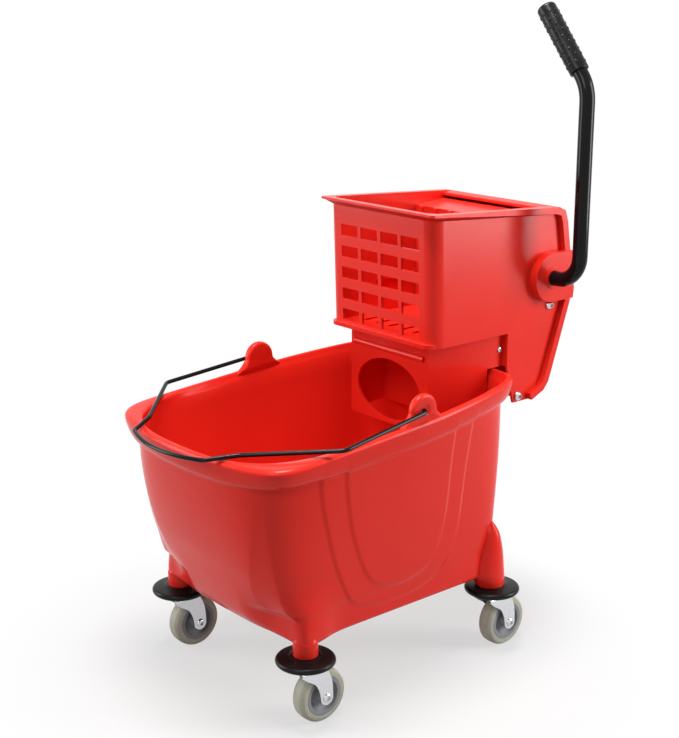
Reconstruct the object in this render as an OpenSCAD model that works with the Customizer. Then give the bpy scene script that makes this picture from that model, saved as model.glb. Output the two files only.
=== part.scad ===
// Wheeled mop bucket with a side-press wringer on its rear wall.
// Frame: the origin is on the floor under the middle of the bucket, +X points to the handle's side,
// +Y to the rear, where the wringer stands, and +Z up. Lengths are in millimetres, angles in degrees.

/* [Bucket] */
// Width over the rim
bucket_w = 375; // [360:1:390]
// Length over the rim
bucket_l = 495; // [480:1:510]
// Height of the rim's top at the front
rim_front_z = 375; // [366:1:384]
// Height of the rim's top at the rear
rim_rear_z = 413; // [406:1:420]
// Height of the underside of the floor
base_z = 117; // [112:1:122]
// Width of the floor
base_w = 300; // [288:1:310]
// Distance from the middle to the floor's front edge
base_front = 165; // [158:1:170]
// Distance from the middle to the floor's rear edge
base_rear = 208; // [202:1:212]
// Thickness of the walls
wall_t = 4; // [3:0.5:5]
// Thickness of the floor
floor_t = 5; // [4:0.5:8]
// Height of the turned-down band round the rim
band_h = 30; // [24:1:34]
// How far the band stands out from the wall under it
band_out = 10; // [8:0.5:12]
// Width of the rim's flat top along the sides
rim_top_w = 9; // [7:0.5:11]
// Depth of the flat ledge in the front corners
ledge_t = 14; // [10:1:18]

/* [Ears and bail] */
// Distance of the ears behind the middle of the bucket
ear_y = 28; // [15:1:40]
// Height of the bail's pivot above the rim
ear_rise = 14; // [12:1:17]
// Radius of the round top of an ear
ear_r = 23; // [20:1:26]
// Length of an ear's foot along the rim
ear_foot_l = 104; // [90:1:120]
// Thickness of an ear
ear_t = 11; // [9:0.5:13]
// How far an ear's outer face lies inside the rim's edge
ear_inset = 3; // [2:0.5:5]
// Diameter of the bail wire
bail_d = 6; // [5:0.5:7]
// Half the spread of the bail's side arms where they turn in
bail_arm_x = 200; // [198:1:204]
// Length of a side arm, from the pivot forwards
bail_arm_l = 152; // [144:1:158]
// Half the width of the bail where the slanted runs end
bail_neck_x = 104; // [96:1:112]
// Distance of that point ahead of the pivot
bail_neck_l = 244; // [238:1:250]
// Half the width of the bowed hand grip at the front
bail_grip_x = 79; // [70:1:86]
// Distance of the grip's ends ahead of the pivot
bail_grip_l = 284; // [280:1:290]
// How far the grip bows forwards at its middle
bail_bow = 16; // [10:1:20]

/* [Casters] */
// Diameter of a wheel
wheel_d = 76.2; // [70:0.2:79]
// Width of a tyre
tyre_w = 24; // [20:1:25]
// Diameter of the hub under the tyre
hub_d = 56; // [50:1:60]
// Height of a whole caster, from the floor to the leg's foot
caster_h = 101.6; // [99:0.2:106]
// Distance of the wheel's axle behind the swivel's axis
caster_trail = 22; // [20:0.5:25]
// Distance of the swivels inside the floor's side edges
caster_side_inset = 3; // [0:1:8]
// Distance of the front swivels behind the floor's front edge
caster_front_inset = 18; // [14:1:24]
// Distance of the rear swivels ahead of the floor's rear edge
caster_rear_inset = 3; // [0:1:8]
// Diameter of a leg
leg_d = 38; // [34:1:40]
// Diameter of a bumper disc
bumper_d = 81; // [76:1:86]
// Thickness of a bumper disc
bumper_t = 11.5; // [10:0.5:13]
// Diameter of a caster's stem
stem_d = 11; // [9:0.5:12]
// Thickness of the fork's sheet metal
fork_t = 2.5; // [2:0.25:3]
// Diameter of the wheel's axle
axle_d = 8; // [7:0.5:9]

/* [Wringer] */
// Width over the top lip
wringer_w = 237; // [230:1:245]
// Length of the top opening's lip, front to rear
wringer_l = 248; // [242:1:254]
// Height of the basket from its foot flange to the top
basket_h = 190; // [184:1:196]
// Distance of the basket's front lip ahead of the bucket's rear edge
wringer_reach = 149; // [144:1:154]
// Height of the foot flange's underside above the rear rim
basket_lift = 50; // [46:1:56]
// Fall of the top edge from front to rear
top_fall = 14; // [8:1:18]
// Thickness of the moulded walls
panel_t = 4; // [3:0.5:5]
// How far the lips stand out from the walls
lip_out = 8; // [6:0.5:9]
// Height of the lips
lip_h = 10; // [8:0.5:12]
// Radius of the basket's front corners
basket_corner_r = 20; // [14:1:26]
// Columns of drain holes in the front wall
hole_columns = 4; // [3:1:4]
// Rows of drain holes in the front wall
hole_rows = 5; // [4:1:5]
// Height of the plain band above the drain holes
hole_band = 27; // [20:1:34]
// Plain width on each side of the drain holes, on the flat of the front wall
hole_margin = 8.75; // [6:0.25:14]
// Width of the bar between two drain holes
hole_bar_w = 6.5; // [5:0.5:8]
// Height of the bar between two rows
hole_bar_h = 14.5; // [12:0.5:16]
// Width of the oval opening in the skirt
drain_w = 136; // [124:1:136]
// Height of the oval opening in the skirt
drain_h = 90; // [80:1:92]
// Depth of the skirt under the basket's foot
skirt_h = 134; // [132:1:142]

/* [Handle] */
// Diameter of the handle's steel tube
tube_d = 22; // [20:0.5:24]
// Height of the grip's highest point above the floor
overall_h = 927; // [910:1:940]
// Distance of the cross axle ahead of the lip's rear end
axle_inset = 6.5; // [4:0.5:9]
// Height of the cross axle above the foot flange's underside
axle_lift = 74; // [70:1:78]
// Distance of the upright tube outside the hub's face
upright_out = 48.5; // [45:0.5:52]
// Radius of the bend at the hub
hub_bend_r = 38; // [32:1:42]
// Radius of the bend under the grip
top_bend_r = 60; // [50:1:70]
// Inward lean of the grip
grip_lean = 38; // [34:1:42]
// Straight length of tube after the upper bend
grip_run = 115; // [112:1:125]
// Length of the rubber grip
grip_l = 110; // [100:1:112]
// Diameter of the rubber grip
grip_d = 28; // [26:0.5:31]
// Swing of the handle
handle_swing = 75; // [60:1:75]

/* [Press] */
// Length of the crank arms, from the axle to the sleeve
crank_r = 75; // [72:0.5:76]
// Backward lean of the crank arms at rest
crank_lean = 10; // [6:0.5:12]
// Diameter of a crank pin's sleeve
sleeve_d = 14; // [12:0.5:15]
// Distance from the axle forwards to the press plate's face at rest
press_gap = 60; // [56:1:64]
// Thickness of the press plate
press_t = 6; // [5:0.5:7]

/* [Hidden] */
$fn = 48;

// One overrun serves every cut
over = 1;
// Angles between the points of rounded corners and edges
corner_step = 10;
edge_step = 15;
oval_step = 5;
// Gap of a seated piece to its seat, on the radius
seat_gap = 0.05;
// Running gap of a pin or shaft in its hole, on the radius
run_gap = 0.05;
// Gap between neighbours that move past each other
slide_gap = 0.4;

// Bucket shape
ring_n = 64;
// Powers of the outlines' front and rear corners: a higher one is a squarer corner
floor_powers = [9, 7];
wall_powers = [5.2, 9];
rim_powers = [12, 12];
spout_powers = [4, 12];
// Share by which the front bows forwards between its corners
floor_bow_share = 0.03;
wall_bow_share = 0.085;
rim_bow_share = 0.135;
// Share by which the width draws in towards the rear at the rim
rear_taper_share = 0.18;
// Height share, then shares of the way from the floor's outline to the rim's: side, front, rear
wall_shares = [
    [0.00, 0.00, 0.00, 0.00],
    [0.15, 0.10, 0.07, 0.10],
    [0.20, 0.18, 0.30, 0.16],
    [0.38, 0.38, 0.58, 0.36],
    [0.62, 0.64, 0.80, 0.64],
    [0.82, 0.84, 0.92, 0.84],
    [1.00, 1.00, 1.00, 1.00]
];
rim_half_w = bucket_w / 2;
rim_half_l = bucket_l / 2;
body_half_w = rim_half_w - band_out;
body_half_l = rim_half_l - band_out;
function rim_z(y) = rim_front_z + (rim_rear_z - rim_front_z) * (y + rim_half_l) / bucket_l;
function wall_z(y, share) = base_z + share * (rim_z(y) - band_h - base_z);
function blend(a, b, share) = a + (b - a) * share;
// A rounded outline with its own reach and corner power at the front and at the rear
function outline(half_w, front, rear, powers, bow, taper) = [
    for (i = [0 : ring_n - 1])
        let (a = 360 * i / ring_n, ahead = sin(a) < 0, p = ahead ? powers[0] : powers[1])
        let (r = pow(pow(abs(cos(a)), p) + pow(abs(sin(a)), p), -1 / p), s = r * cos(a), w = r * sin(a))
            ahead ? [half_w * s, front * (1 - bow * s * s) * w] : [half_w * s * (1 - taper * w * w), rear * w]
];
function wall_outline(row, inset) = outline(
    blend(base_w / 2, body_half_w, row[1]) - inset,
    blend(base_front, body_half_l, row[2]) - inset,
    blend(base_rear, body_half_l, row[3]) - inset,
    blend(floor_powers, wall_powers, row[0]),
    blend(floor_bow_share, wall_bow_share, row[0]),
    rear_taper_share * row[0]
);
function wall_ring(row, inset) = [for (p = wall_outline(row, inset)) [p[0], p[1], wall_z(p[1], row[0])]];
function flat_ring(row, inset, z) = [for (p = wall_outline(row, inset)) [p[0], p[1], z]];
function rim_ring(inset, drop, powers, bow) =
    let (half_l = rim_half_l - inset)
        [for (p = outline(rim_half_w - inset, half_l, half_l, powers, bow, rear_taper_share))
            [p[0], p[1], rim_z(p[1]) - drop]];
wall_top = len(wall_shares) - 1;
bucket_rings = concat(
    [for (k = [0 : wall_top]) wall_ring(wall_shares[k], 0)],
    [rim_ring(0, band_h, rim_powers, rim_bow_share)],
    [rim_ring(0, 0, rim_powers, rim_bow_share)],
    [rim_ring(rim_top_w, 0, spout_powers, wall_bow_share)],
    [rim_ring(band_out + wall_t, ledge_t, wall_powers, wall_bow_share)],
    [for (k = [wall_top : -1 : 1]) wall_ring(wall_shares[k], wall_t)],
    [flat_ring(wall_shares[0], wall_t, base_z + floor_t)]
);

// Legs
leg_x = base_w / 2 - caster_side_inset;
leg_front_y = caster_front_inset - base_front;
leg_rear_y = base_rear - caster_rear_inset;
leg_spots = [[-leg_x, leg_front_y], [leg_x, leg_front_y], [-leg_x, leg_rear_y], [leg_x, leg_rear_y]];
front_leg_h = 80;
rear_leg_h = 100;
leg_sides = 24;
leg_tip_row = 4;
leg_tip_inset = 9;
leg_skin = 0.6;
// Shares of a leg's height, of its radius, and of the way from its axis to the bucket's corner
front_leg_shares = [[0, 1, 0], [0.55, 1, 0], [0.80, 0.85, 0.15], [1, 0.40, 0.45]];
rear_leg_shares = [[0, 1, 0], [0.30, 1, 0], [0.55, 0.90, 0.10], [0.80, 0.60, 0.35], [1, 0.12, 0.70]];
socket_h = 36;

// Ears and bail
pivot_z = rim_z(ear_y) + ear_rise;
ear_steps = 8;
ear_root = 16;
bail_hole_d = bail_d + 2 * run_gap;
// The bail lies on the front rim with this gap under the wire
bail_rest_gap = 0.8;
bail_drop = pivot_z - (rim_front_z + bail_d / 2 + bail_rest_gap);
bail_fall = bail_drop / (ear_y + rim_half_l);
bail_out_x = rim_half_w - ear_inset + bail_d / 2 + slide_gap;
bail_in_x = rim_half_w - ear_inset - ear_t - bail_d;
wire_sides = 10;
grip_steps = 10;

// Caster stack
wheel_r = wheel_d / 2;
bumper_z = caster_h - bumper_t;
race_t = 3;
fork_top_z = bumper_z - race_t;
fork_side_gap = 4;
fork_inside = tyre_w / 2 + fork_side_gap;
fork_plate_d = 44;
fork_tip_r = 9;
fork_root_l = 34;
kingpin_d = 9;
kingpin_head_d = 17;
kingpin_head_t = 4;
race_z = fork_top_z + slide_gap;
kingpin_head_z = fork_top_z - fork_t - slide_gap;
stem_end_gap = 0.5;
stem_h = socket_h - stem_end_gap;
stem_ring_d = 30;
bumper_edge_r = 4.5;
bumper_dome = 2.5;
axle_head_d = 13;
axle_head_t = 3;
hub_boss_d = 20;
hub_web_t = 10;
hub_rim_t = 5;
tyre_edge_r = 5;
tyre_gap = 0.4;

// Wringer places
foot_z = rim_rear_z + basket_lift;
top_front_z = foot_z + basket_h;
lip_front_y = rim_half_l - wringer_reach;
// Drawn past every rear edge, then cut to the side profile
wringer_end_y = lip_front_y + 2 * wringer_l;
front_y = lip_front_y + lip_out;
lip_half_w = wringer_w / 2;
panel_half_w = lip_half_w - lip_out;
inner_half_w = panel_half_w - panel_t;
axle_y = lip_front_y + wringer_l - axle_inset;
axle_z = foot_z + axle_lift;
flange_t = 6;
// Height of the lowest drain holes above the foot flange
hole_rise = 4;
lip_corner_r = 6;
flange_end_inset = 4;
flange_out = 6;
flange_corner_r = 14;
skirt_side_inset = 9.5;
skirt_front_inset = 22.5;
// The skirt is narrower at its front by this on each side, and widens over this length
skirt_taper = 19;
skirt_taper_l = 56;
skirt_half_w = panel_half_w - skirt_side_inset;
skirt_front_y = front_y + skirt_front_inset;
skirt_rear_gap = 10;
skirt_rear_y = blend(base_rear, body_half_l, wall_shares[4][3]) - wall_t - skirt_rear_gap;
// Slot between the skirt and the hooks, which takes the bucket's rear wall
hook_gap = 14;
hook_y = rim_half_l + hook_gap;
saddle_t = 6;
saddle_gap = 0.3;
saddle_z = rim_rear_z + saddle_gap;
// The walls beside the saddle reach down inside the bucket's rear wall
side_drop = 60;
side_rear_gap = 8.5;
side_rear_y = body_half_l - wall_t - side_rear_gap;
ledge_r = 5;
ledge_set = 1;
ledge_end_inset = 8;
ledge_drop = 23;
drain_drop = 83;
floor_slot_w = 8;
floor_slot_n = 7;
floor_slot_inset = 24;
floor_slot_y = skirt_front_y + floor_slot_inset;
border_w = 11;
// Side panel's rear edge: shares of the lip's length behind its front, then of the rear wall's height
rear_edge_shares = [
    [1.030, 1.000], [1.085, 0.965], [1.110, 0.870], [1.140, 0.630], [1.165, 0.290],
    [1.155, 0.180], [1.010, -0.410], [0.990, -0.485], [0.950, -0.550], [0.850, -0.610]
];
hook_tip_share = 0.72;
function edge_point(s) = [lip_front_y + s[0] * wringer_l, foot_z + s[1] * (basket_h - top_fall)];
rear_edge = [for (s = rear_edge_shares) edge_point(s)];
// The same edge moved inwards along its own normals
function normal2(a, b) = let (d = b - a, n = norm(d)) [-d[1] / n, d[0] / n];
function edge_normal(i) =
    let (a = rear_edge[max(i - 1, 0)], b = rear_edge[min(i + 1, len(rear_edge) - 1)]) normal2(a, b);
function inner_edge(inset) = [for (i = [0 : len(rear_edge) - 1]) rear_edge[i] - inset * edge_normal(i)];
hook_tip_y = lip_front_y + hook_tip_share * wringer_l;
hook_tip_z = rear_edge[len(rear_edge) - 1][1];

// Hubs, bolts and screws
boss_r = 36;
boss_out = 13;
boss_x = panel_half_w + boss_out;
bush_t = 3;
bush_flange_t = 2;
bush_flange_w = 5;
bush_flange_d = tube_d + 2 * bush_flange_w;
bush_d = tube_d + 2 * bush_t;
bolt_d = 8;
bolt_head_d = 14;
bolt_head_t = 6;
bolt_nut_t = 5;
upper_bolt_drop = 44;
upper_bolt_back = 8;
upper_bolt_y = axle_y + upper_bolt_back;
upper_bolt_z = axle_z - upper_bolt_drop;
lower_bolt_share = 0.27;
lower_bolt_rise = 9;
lower_bolt_y = blend(hook_tip_y, rear_edge[len(rear_edge) - 1][0], lower_bolt_share);
lower_bolt_z = hook_tip_z + lower_bolt_rise;
screw_inset = 7;
screw_drop = 24;
screw_y = hook_y - screw_inset;
screw_z = foot_z - screw_drop;
screw_d = 5;
screw_head_d = 9;
screw_head_t = 3;
screw_nut_t = 4;

// Handle
upright_x = boss_x + upright_out;
upright_z = axle_z + hub_bend_r;
grip_end_r = 5;
grip_cap_t = 4;
grip_half = grip_d / 2 - grip_end_r;
grip_reach = (grip_run - grip_end_r) * cos(grip_lean) + grip_half * sin(grip_lean) + grip_end_r;
top_bend_z = overall_h - grip_reach - top_bend_r * sin(grip_lean);
tube_wall = 2;
cap_t = 8;
cap_wall = 4;
cap_d = tube_d + 2 * cap_wall;
tube_left_x = -(boss_x + bush_flange_t + slide_gap + cap_t);

// Press
travel = crank_r * (sin(handle_swing - crank_lean) + sin(crank_lean));
function crank_y(swing) = crank_r * sin(swing - crank_lean);
// The plate moves in step with the handle, so the slot takes up what the crank's arc differs by
arc_lead = crank_y(handle_swing / 2) - (crank_y(0) + crank_y(handle_swing)) / 2;
slot_play = arc_lead / 2 + slide_gap;
slot_y = axle_y + crank_r * sin(crank_lean) - arc_lead / 2;
slot_w = sleeve_d + 2 * slot_play;
slot_low_z = axle_z + crank_r * cos(handle_swing - crank_lean);
slot_high_z = axle_z + crank_r;
lug_wall = 4;
lug_t = 6;
lug_inset = 20;
press_half_w = inner_half_w - slide_gap;
lug_x = press_half_w - lug_inset;
crank_t = 6;
crank_x = lug_x - lug_t / 2 - slide_gap - crank_t;
crank_hub_wall = 6;
crank_hub_d = tube_d + 2 * crank_hub_wall;
crank_tip_r = 10;
pin_d = 8;
pin_gap = 0.05;
sleeve_spare = 2;
sleeve_w = lug_t + sleeve_spare;
sleeve_x = crank_x + crank_t + slide_gap;
sleeve_y = axle_y + crank_r * sin(crank_lean);
sleeve_z = axle_z + crank_r * cos(crank_lean);
press_y = axle_y - press_gap;
press_back_y = press_y + press_t;
press_low_z = foot_z + flange_t / 2 + slide_gap;
press_top_z = slot_high_z + sleeve_d / 2 + slide_gap + lug_wall;
press_rib_n = 7;
press_rib_w = 6;
press_rib_t = 5;
guard_t = 3;
guard_rise = 5;
guide_h = 6;
guide_t = 3;
guide_drop = 22;
guide_z = axle_z - guide_drop;
rail_w = 16;
rail_y = rear_edge[0][0] - rail_w;
rail_fall = 2;
rail_h = 5;
cover_t = 3;

// Closed polyhedron over a stack of rings, each with the same number of points
module ring_solid(rings) {
    n = len(rings[0]);
    last = len(rings) - 1;
    sides = [
        for (k = [0 : last - 1], i = [0 : n - 1])
            let (j = (i + 1) % n, a = k * n, b = a + n)
                each [[a + i, b + i, b + j], [a + i, b + j, a + j]]
    ];
    caps = [[for (i = [0 : n - 1]) i], [for (i = [n - 1 : -1 : 0]) last * n + i]];
    polyhedron([for (r = rings) each r], concat(sides, caps), convexity = 8);
}

// Copies with the middle of the wringer or bucket as the mirror plane
module both_sides() {
    children();
    mirror([1, 0, 0]) children();
}

// A shape drawn in (y, z), as thick as t, with its near face at x
module side_plate(x, t) {
    translate([x, 0, 0]) rotate([90, 0, 90]) linear_extrude(t) children();
}

// A round bar along X between two places
module cross_bar(d, x0, x1, y, z) {
    translate([x0, y, z]) rotate([0, 90, 0]) cylinder(h = x1 - x0, d = d);
}

// Bucket
function ear_flank(side) = [
    for (i = [0 : ear_steps])
        let (s = i / ear_steps, w = blend(ear_foot_l / 2, ear_r, 1 - (1 - s) * (1 - s)))
            [ear_y + side * w, blend(rim_z(ear_y + side * w) - ear_root, pivot_z, s)]
];
function ear_arc() = [
    for (i = [1 : 2 * ear_steps - 1])
        let (a = 90 * i / ear_steps) [ear_y - ear_r * cos(a), pivot_z + ear_r * sin(a)]
];
function backwards(list) = [for (i = [len(list) - 1 : -1 : 0]) list[i]];

module ear() {
    side_plate(rim_half_w - ear_inset - ear_t, ear_t)
        polygon(concat(ear_flank(-1), ear_arc(), backwards(ear_flank(1))));
}

// A leg's rings, from its foot up to a tip buried in the bucket's corner
function leg_ring(spot, tip, h, row) = [
    for (i = [0 : leg_sides - 1])
        let (a = 360 * i / leg_sides, r = row[1] * leg_d / 2)
            [blend(spot[0], tip[0], row[2]) + r * cos(a), blend(spot[1], tip[1], row[2]) + r * sin(a),
                caster_h + row[0] * h]
];
function corner_place(spot) =
    let (row = wall_shares[leg_tip_row], front = spot[1] < 0, p = wall_outline(row, leg_tip_inset))
        [sign(spot[0]) * p[ring_n / 8][0], front ? p[ring_n * 7 / 8][1] : p[ring_n / 8][1]];

module leg(spot) {
    front = spot[1] < 0;
    rows = front ? front_leg_shares : rear_leg_shares;
    h = front ? front_leg_h : rear_leg_h;
    ring_solid([for (row = rows) leg_ring(spot, corner_place(spot), h, row)]);
}

// The space inside the bucket, drawn a little smaller, which the legs don't enter
module inside_space() {
    inset = wall_t + leg_skin;
    ring_solid(concat(
        [flat_ring(wall_shares[0], inset, base_z + floor_t + leg_skin)],
        [for (k = [1 : wall_top]) wall_ring(wall_shares[k], inset)]
    ));
}

module bucket() {
    color("#d8211c") difference() {
        union() {
            ring_solid(bucket_rings);
            difference() {
                for (spot = leg_spots) leg(spot);
                inside_space();
            }
            both_sides() ear();
        }
        for (spot = leg_spots)
            translate([spot[0], spot[1], caster_h - over])
                cylinder(h = socket_h + over, d = stem_d + 2 * seat_gap);
        cross_bar(bail_hole_d, -rim_half_w, rim_half_w, ear_y, pivot_z);
    }
}

// Bail: a wire in one plane that falls forwards from the pivot to the front rim
function bail_point(x, ahead) = [x, ear_y - ahead, pivot_z - ahead * bail_fall];
// Shares of the way between two corners at which the wire leaves one and enters the next
bail_turn_shares = [0.95, 0.06, 0.94, 0.14, 0.86];
function bail_turn(k, a, b) = let (p = blend(a, b, bail_turn_shares[k])) bail_point(p[0], p[1]);
bail_start = [bail_out_x, 0];
bail_arm = [bail_arm_x, bail_arm_l];
bail_neck = [bail_neck_x, bail_neck_l];
bail_grip = [bail_grip_x, bail_grip_l];
bail_half = [
    bail_point(bail_out_x, 0),
    bail_point(bail_out_x, bail_d),
    bail_turn(0, bail_start, bail_arm),
    bail_turn(1, bail_arm, bail_neck),
    bail_turn(2, bail_arm, bail_neck),
    bail_turn(3, bail_neck, bail_grip),
    bail_turn(4, bail_neck, bail_grip),
    bail_point(bail_grip_x, bail_grip_l)
];
bail_front = [
    for (i = [1 : grip_steps - 1])
        let (s = 1 - 2 * i / grip_steps) bail_point(s * bail_grip_x, bail_grip_l + bail_bow * (1 - s * s))
];
bail_route = concat(bail_half, bail_front, [for (p = backwards(bail_half)) [-p[0], p[1], p[2]]]);

// Rings of a wire that follows a route lying in one tilted plane
plane_up = let (v = [0, bail_fall, 1]) v / norm(v);
function route_dir(i) =
    let (d = bail_route[min(i + 1, len(bail_route) - 1)] - bail_route[max(i - 1, 0)]) d / norm(d);
function wire_ring(i) =
    let (side = cross(route_dir(i), plane_up))
        [for (k = [0 : wire_sides - 1])
            let (a = 360 * k / wire_sides) bail_route[i] + bail_d / 2 * (cos(a) * side + sin(a) * plane_up)];

module bail() {
    color("#1b1b1c") {
        ring_solid([for (i = [len(bail_route) - 1 : -1 : 0]) wire_ring(i)]);
        both_sides() {
            cross_bar(bail_d, bail_in_x, bail_out_x, ear_y, pivot_z);
            translate([bail_out_x, ear_y, pivot_z]) sphere(d = bail_d);
        }
    }
}

// Casters, each drawn with its swivel axis at the origin
module at_caster(i) {
    translate([leg_spots[i][0], leg_spots[i][1], 0]) children();
}

module caster_stem(i) {
    color("#b9bcc0") at_caster(i) {
        translate([0, 0, race_z]) cylinder(h = caster_h + stem_h - race_z, d = stem_d);
        translate([0, 0, race_z]) cylinder(h = bumper_z - race_z, d = stem_ring_d);
        translate([0, 0, kingpin_head_z]) cylinder(h = race_z - kingpin_head_z, d = kingpin_d);
        translate([0, 0, kingpin_head_z - kingpin_head_t]) cylinder(h = kingpin_head_t, d = kingpin_head_d);
    }
}

module bumper_profile() {
    hole = stem_d / 2 + seat_gap;
    edge_x = bumper_d / 2 - bumper_edge_r;
    edge_z = caster_h - bumper_dome - bumper_edge_r;
    polygon(concat(
        [[hole, bumper_z], [stem_ring_d / 2, bumper_z]],
        [for (a = [-90 : edge_step : 90])
            [edge_x + bumper_edge_r * cos(a), edge_z + bumper_edge_r * sin(a)]],
        [[leg_d / 2, caster_h], [hole, caster_h]]
    ));
}

module bumper(i) {
    color("#151515") at_caster(i) rotate_extrude() bumper_profile();
}

module fork_leg_outline() {
    translate([caster_trail, wheel_r]) circle(r = fork_tip_r);
    polygon([
        [-fork_root_l / 2, fork_top_z],
        [-fork_root_l / 2, fork_top_z - fork_t],
        [caster_trail - fork_tip_r, wheel_r],
        [caster_trail + fork_tip_r, wheel_r],
        [fork_root_l / 2, fork_top_z - fork_t],
        [fork_root_l / 2, fork_top_z]
    ]);
}

module caster_fork(i) {
    color("#c4c7ca") at_caster(i) difference() {
        union() {
            translate([0, 0, fork_top_z - fork_t]) cylinder(h = fork_t, d = fork_plate_d);
            both_sides() side_plate(fork_inside, fork_t) fork_leg_outline();
        }
        translate([0, 0, fork_top_z - fork_t - over])
            cylinder(h = fork_t + 2 * over, d = kingpin_d + 2 * run_gap);
        cross_bar(axle_d + 2 * seat_gap, -fork_plate_d, fork_plate_d, caster_trail, wheel_r);
    }
}

module wheel_axle(i) {
    out = fork_inside + fork_t;
    color("#a9acb0") at_caster(i) {
        cross_bar(axle_d, -out, out, caster_trail, wheel_r);
        both_sides() cross_bar(axle_head_d, out, out + axle_head_t, caster_trail, wheel_r);
    }
}

// A turned piece whose axis is the wheel's axle
module on_wheel_axis(i) {
    at_caster(i) translate([0, caster_trail, wheel_r]) rotate([0, 90, 0]) rotate_extrude() children();
}

module hub_profile() {
    bore = axle_d / 2 + run_gap;
    boss = fork_inside - tyre_gap;
    half = tyre_w / 2;
    r = hub_d / 2;
    polygon([
        [bore, -boss], [hub_boss_d / 2, -boss], [hub_boss_d / 2, -hub_web_t / 2],
        [r - hub_rim_t - tyre_edge_r, -hub_web_t / 2], [r - hub_rim_t, -half], [r, -half],
        [r, half], [r - hub_rim_t, half], [r - hub_rim_t - tyre_edge_r, hub_web_t / 2],
        [hub_boss_d / 2, hub_web_t / 2], [hub_boss_d / 2, boss], [bore, boss]
    ]);
}

module wheel_hub(i) {
    color("#8b8e91") on_wheel_axis(i) hub_profile();
}

module tyre_profile() {
    half = tyre_w / 2;
    inner = hub_d / 2 + seat_gap;
    polygon(concat(
        [[inner, -half]],
        [for (a = [-90 : edge_step : 0])
            [wheel_r - tyre_edge_r + tyre_edge_r * cos(a), -half + tyre_edge_r + tyre_edge_r * sin(a)]],
        [for (a = [0 : edge_step : 90])
            [wheel_r - tyre_edge_r + tyre_edge_r * cos(a), half - tyre_edge_r + tyre_edge_r * sin(a)]],
        [[inner, half]]
    ));
}

module tyre(i) {
    color("#a3a391") on_wheel_axis(i) tyre_profile();
}

// Wringer
// A plan outline with two rounded front corners, from the rear left round to the rear right
function round_front(half_w, front, back, r) = concat(
    [[-half_w, back]],
    [for (a = [0 : corner_step : 90]) [r - half_w - r * cos(a), front + r - r * sin(a)]],
    [for (a = [90 : -corner_step : 0]) [half_w - r + r * cos(a), front + r - r * sin(a)]],
    [[half_w, back]]
);

// The skirt's plan outline, drawn in by an inset
function skirt_plan(inset) =
    let (half = skirt_half_w - inset, narrow = half - skirt_taper, wide_y = skirt_front_y + skirt_taper_l)
        [[-half, skirt_rear_y - inset], [-half, wide_y], [-narrow, skirt_front_y + inset],
            [narrow, skirt_front_y + inset], [half, wide_y], [half, skirt_rear_y - inset]];

// A wall in the shape of a U, open at the rear
module u_wall(half_w, front, back, r, t) {
    polygon(concat(
        round_front(half_w, front, back, r),
        backwards(round_front(half_w - t, front + t, back, r - t))
    ));
}

side_profile = concat(
    [[lip_front_y - over, foot_z], [lip_front_y - over, top_front_z]],
    rear_edge,
    [[hook_tip_y, hook_tip_z], [hook_y, saddle_z], [hook_y, foot_z]]
);
border_profile = concat(
    [[lip_front_y - over, top_front_z]],
    rear_edge,
    backwards(inner_edge(border_w)),
    [[lip_front_y - over, top_front_z - lip_h]]
);

module across(half_w) {
    side_plate(-half_w, 2 * half_w) children();
}

module basket_walls() {
    intersection() {
        translate([0, 0, hook_tip_z])
            linear_extrude(top_front_z - hook_tip_z)
                u_wall(panel_half_w, front_y, wringer_end_y, basket_corner_r, panel_t);
        across(wringer_w) polygon(side_profile);
    }
}

// The outline of the basket's walls, drawn a little inside their outer faces
basket_core = round_front(panel_half_w - over, front_y + over, wringer_end_y, basket_corner_r - over);

module lips() {
    intersection() {
        translate([0, 0, hook_tip_z])
            linear_extrude(top_front_z - hook_tip_z)
                polygon(concat(
                    round_front(lip_half_w, lip_front_y, wringer_end_y, lip_corner_r),
                    backwards(basket_core)
                ));
        across(wringer_w) polygon(border_profile);
    }
}

module foot_flange() {
    difference() {
        translate([0, 0, foot_z])
            linear_extrude(flange_t)
                polygon(round_front(
                    panel_half_w - flange_end_inset, front_y - flange_out,
                    front_y + basket_corner_r, flange_corner_r
                ));
        translate([0, 0, foot_z - over]) linear_extrude(flange_t + 2 * over) polygon(basket_core);
    }
}

module basket_floor() {
    slot_pitch = 2 * inner_half_w / (floor_slot_n + 1);
    floor_half_w = inner_half_w + over;
    floor_front_y = front_y + panel_t - over;
    difference() {
        translate([0, 0, foot_z])
            linear_extrude(flange_t / 2)
                polygon(round_front(floor_half_w, floor_front_y, axle_y, basket_corner_r - panel_t + over));
        for (k = [1 : floor_slot_n])
            translate([k * slot_pitch - inner_half_w - floor_slot_w / 2, floor_slot_y, foot_z - over])
                cube([floor_slot_w, skirt_rear_y - floor_slot_inset - floor_slot_y, flange_t + over]);
    }
}

drain_oval = [for (a = [0 : oval_step : 360 - oval_step]) [drain_w / 2 * cos(a), drain_h / 2 * sin(a)]];

// A tube under the basket with an oval opening at the front and a bead over it
module skirt() {
    ledge_half_l = skirt_half_w - skirt_taper - ledge_end_inset;
    low_z = foot_z - skirt_h;
    difference() {
        translate([0, 0, low_z])
            linear_extrude(skirt_h + over) polygon(skirt_plan(0));
        translate([0, 0, low_z - over])
            linear_extrude(skirt_h + 3 * over) polygon(skirt_plan(panel_t));
        translate([0, skirt_front_y + panel_t + over, foot_z - drain_drop])
            rotate([90, 0, 0]) linear_extrude(panel_t + 2 * over) polygon(drain_oval);
    }
    cross_bar(2 * ledge_r, -ledge_half_l, ledge_half_l, skirt_front_y + ledge_set, foot_z - ledge_drop);
}

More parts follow.
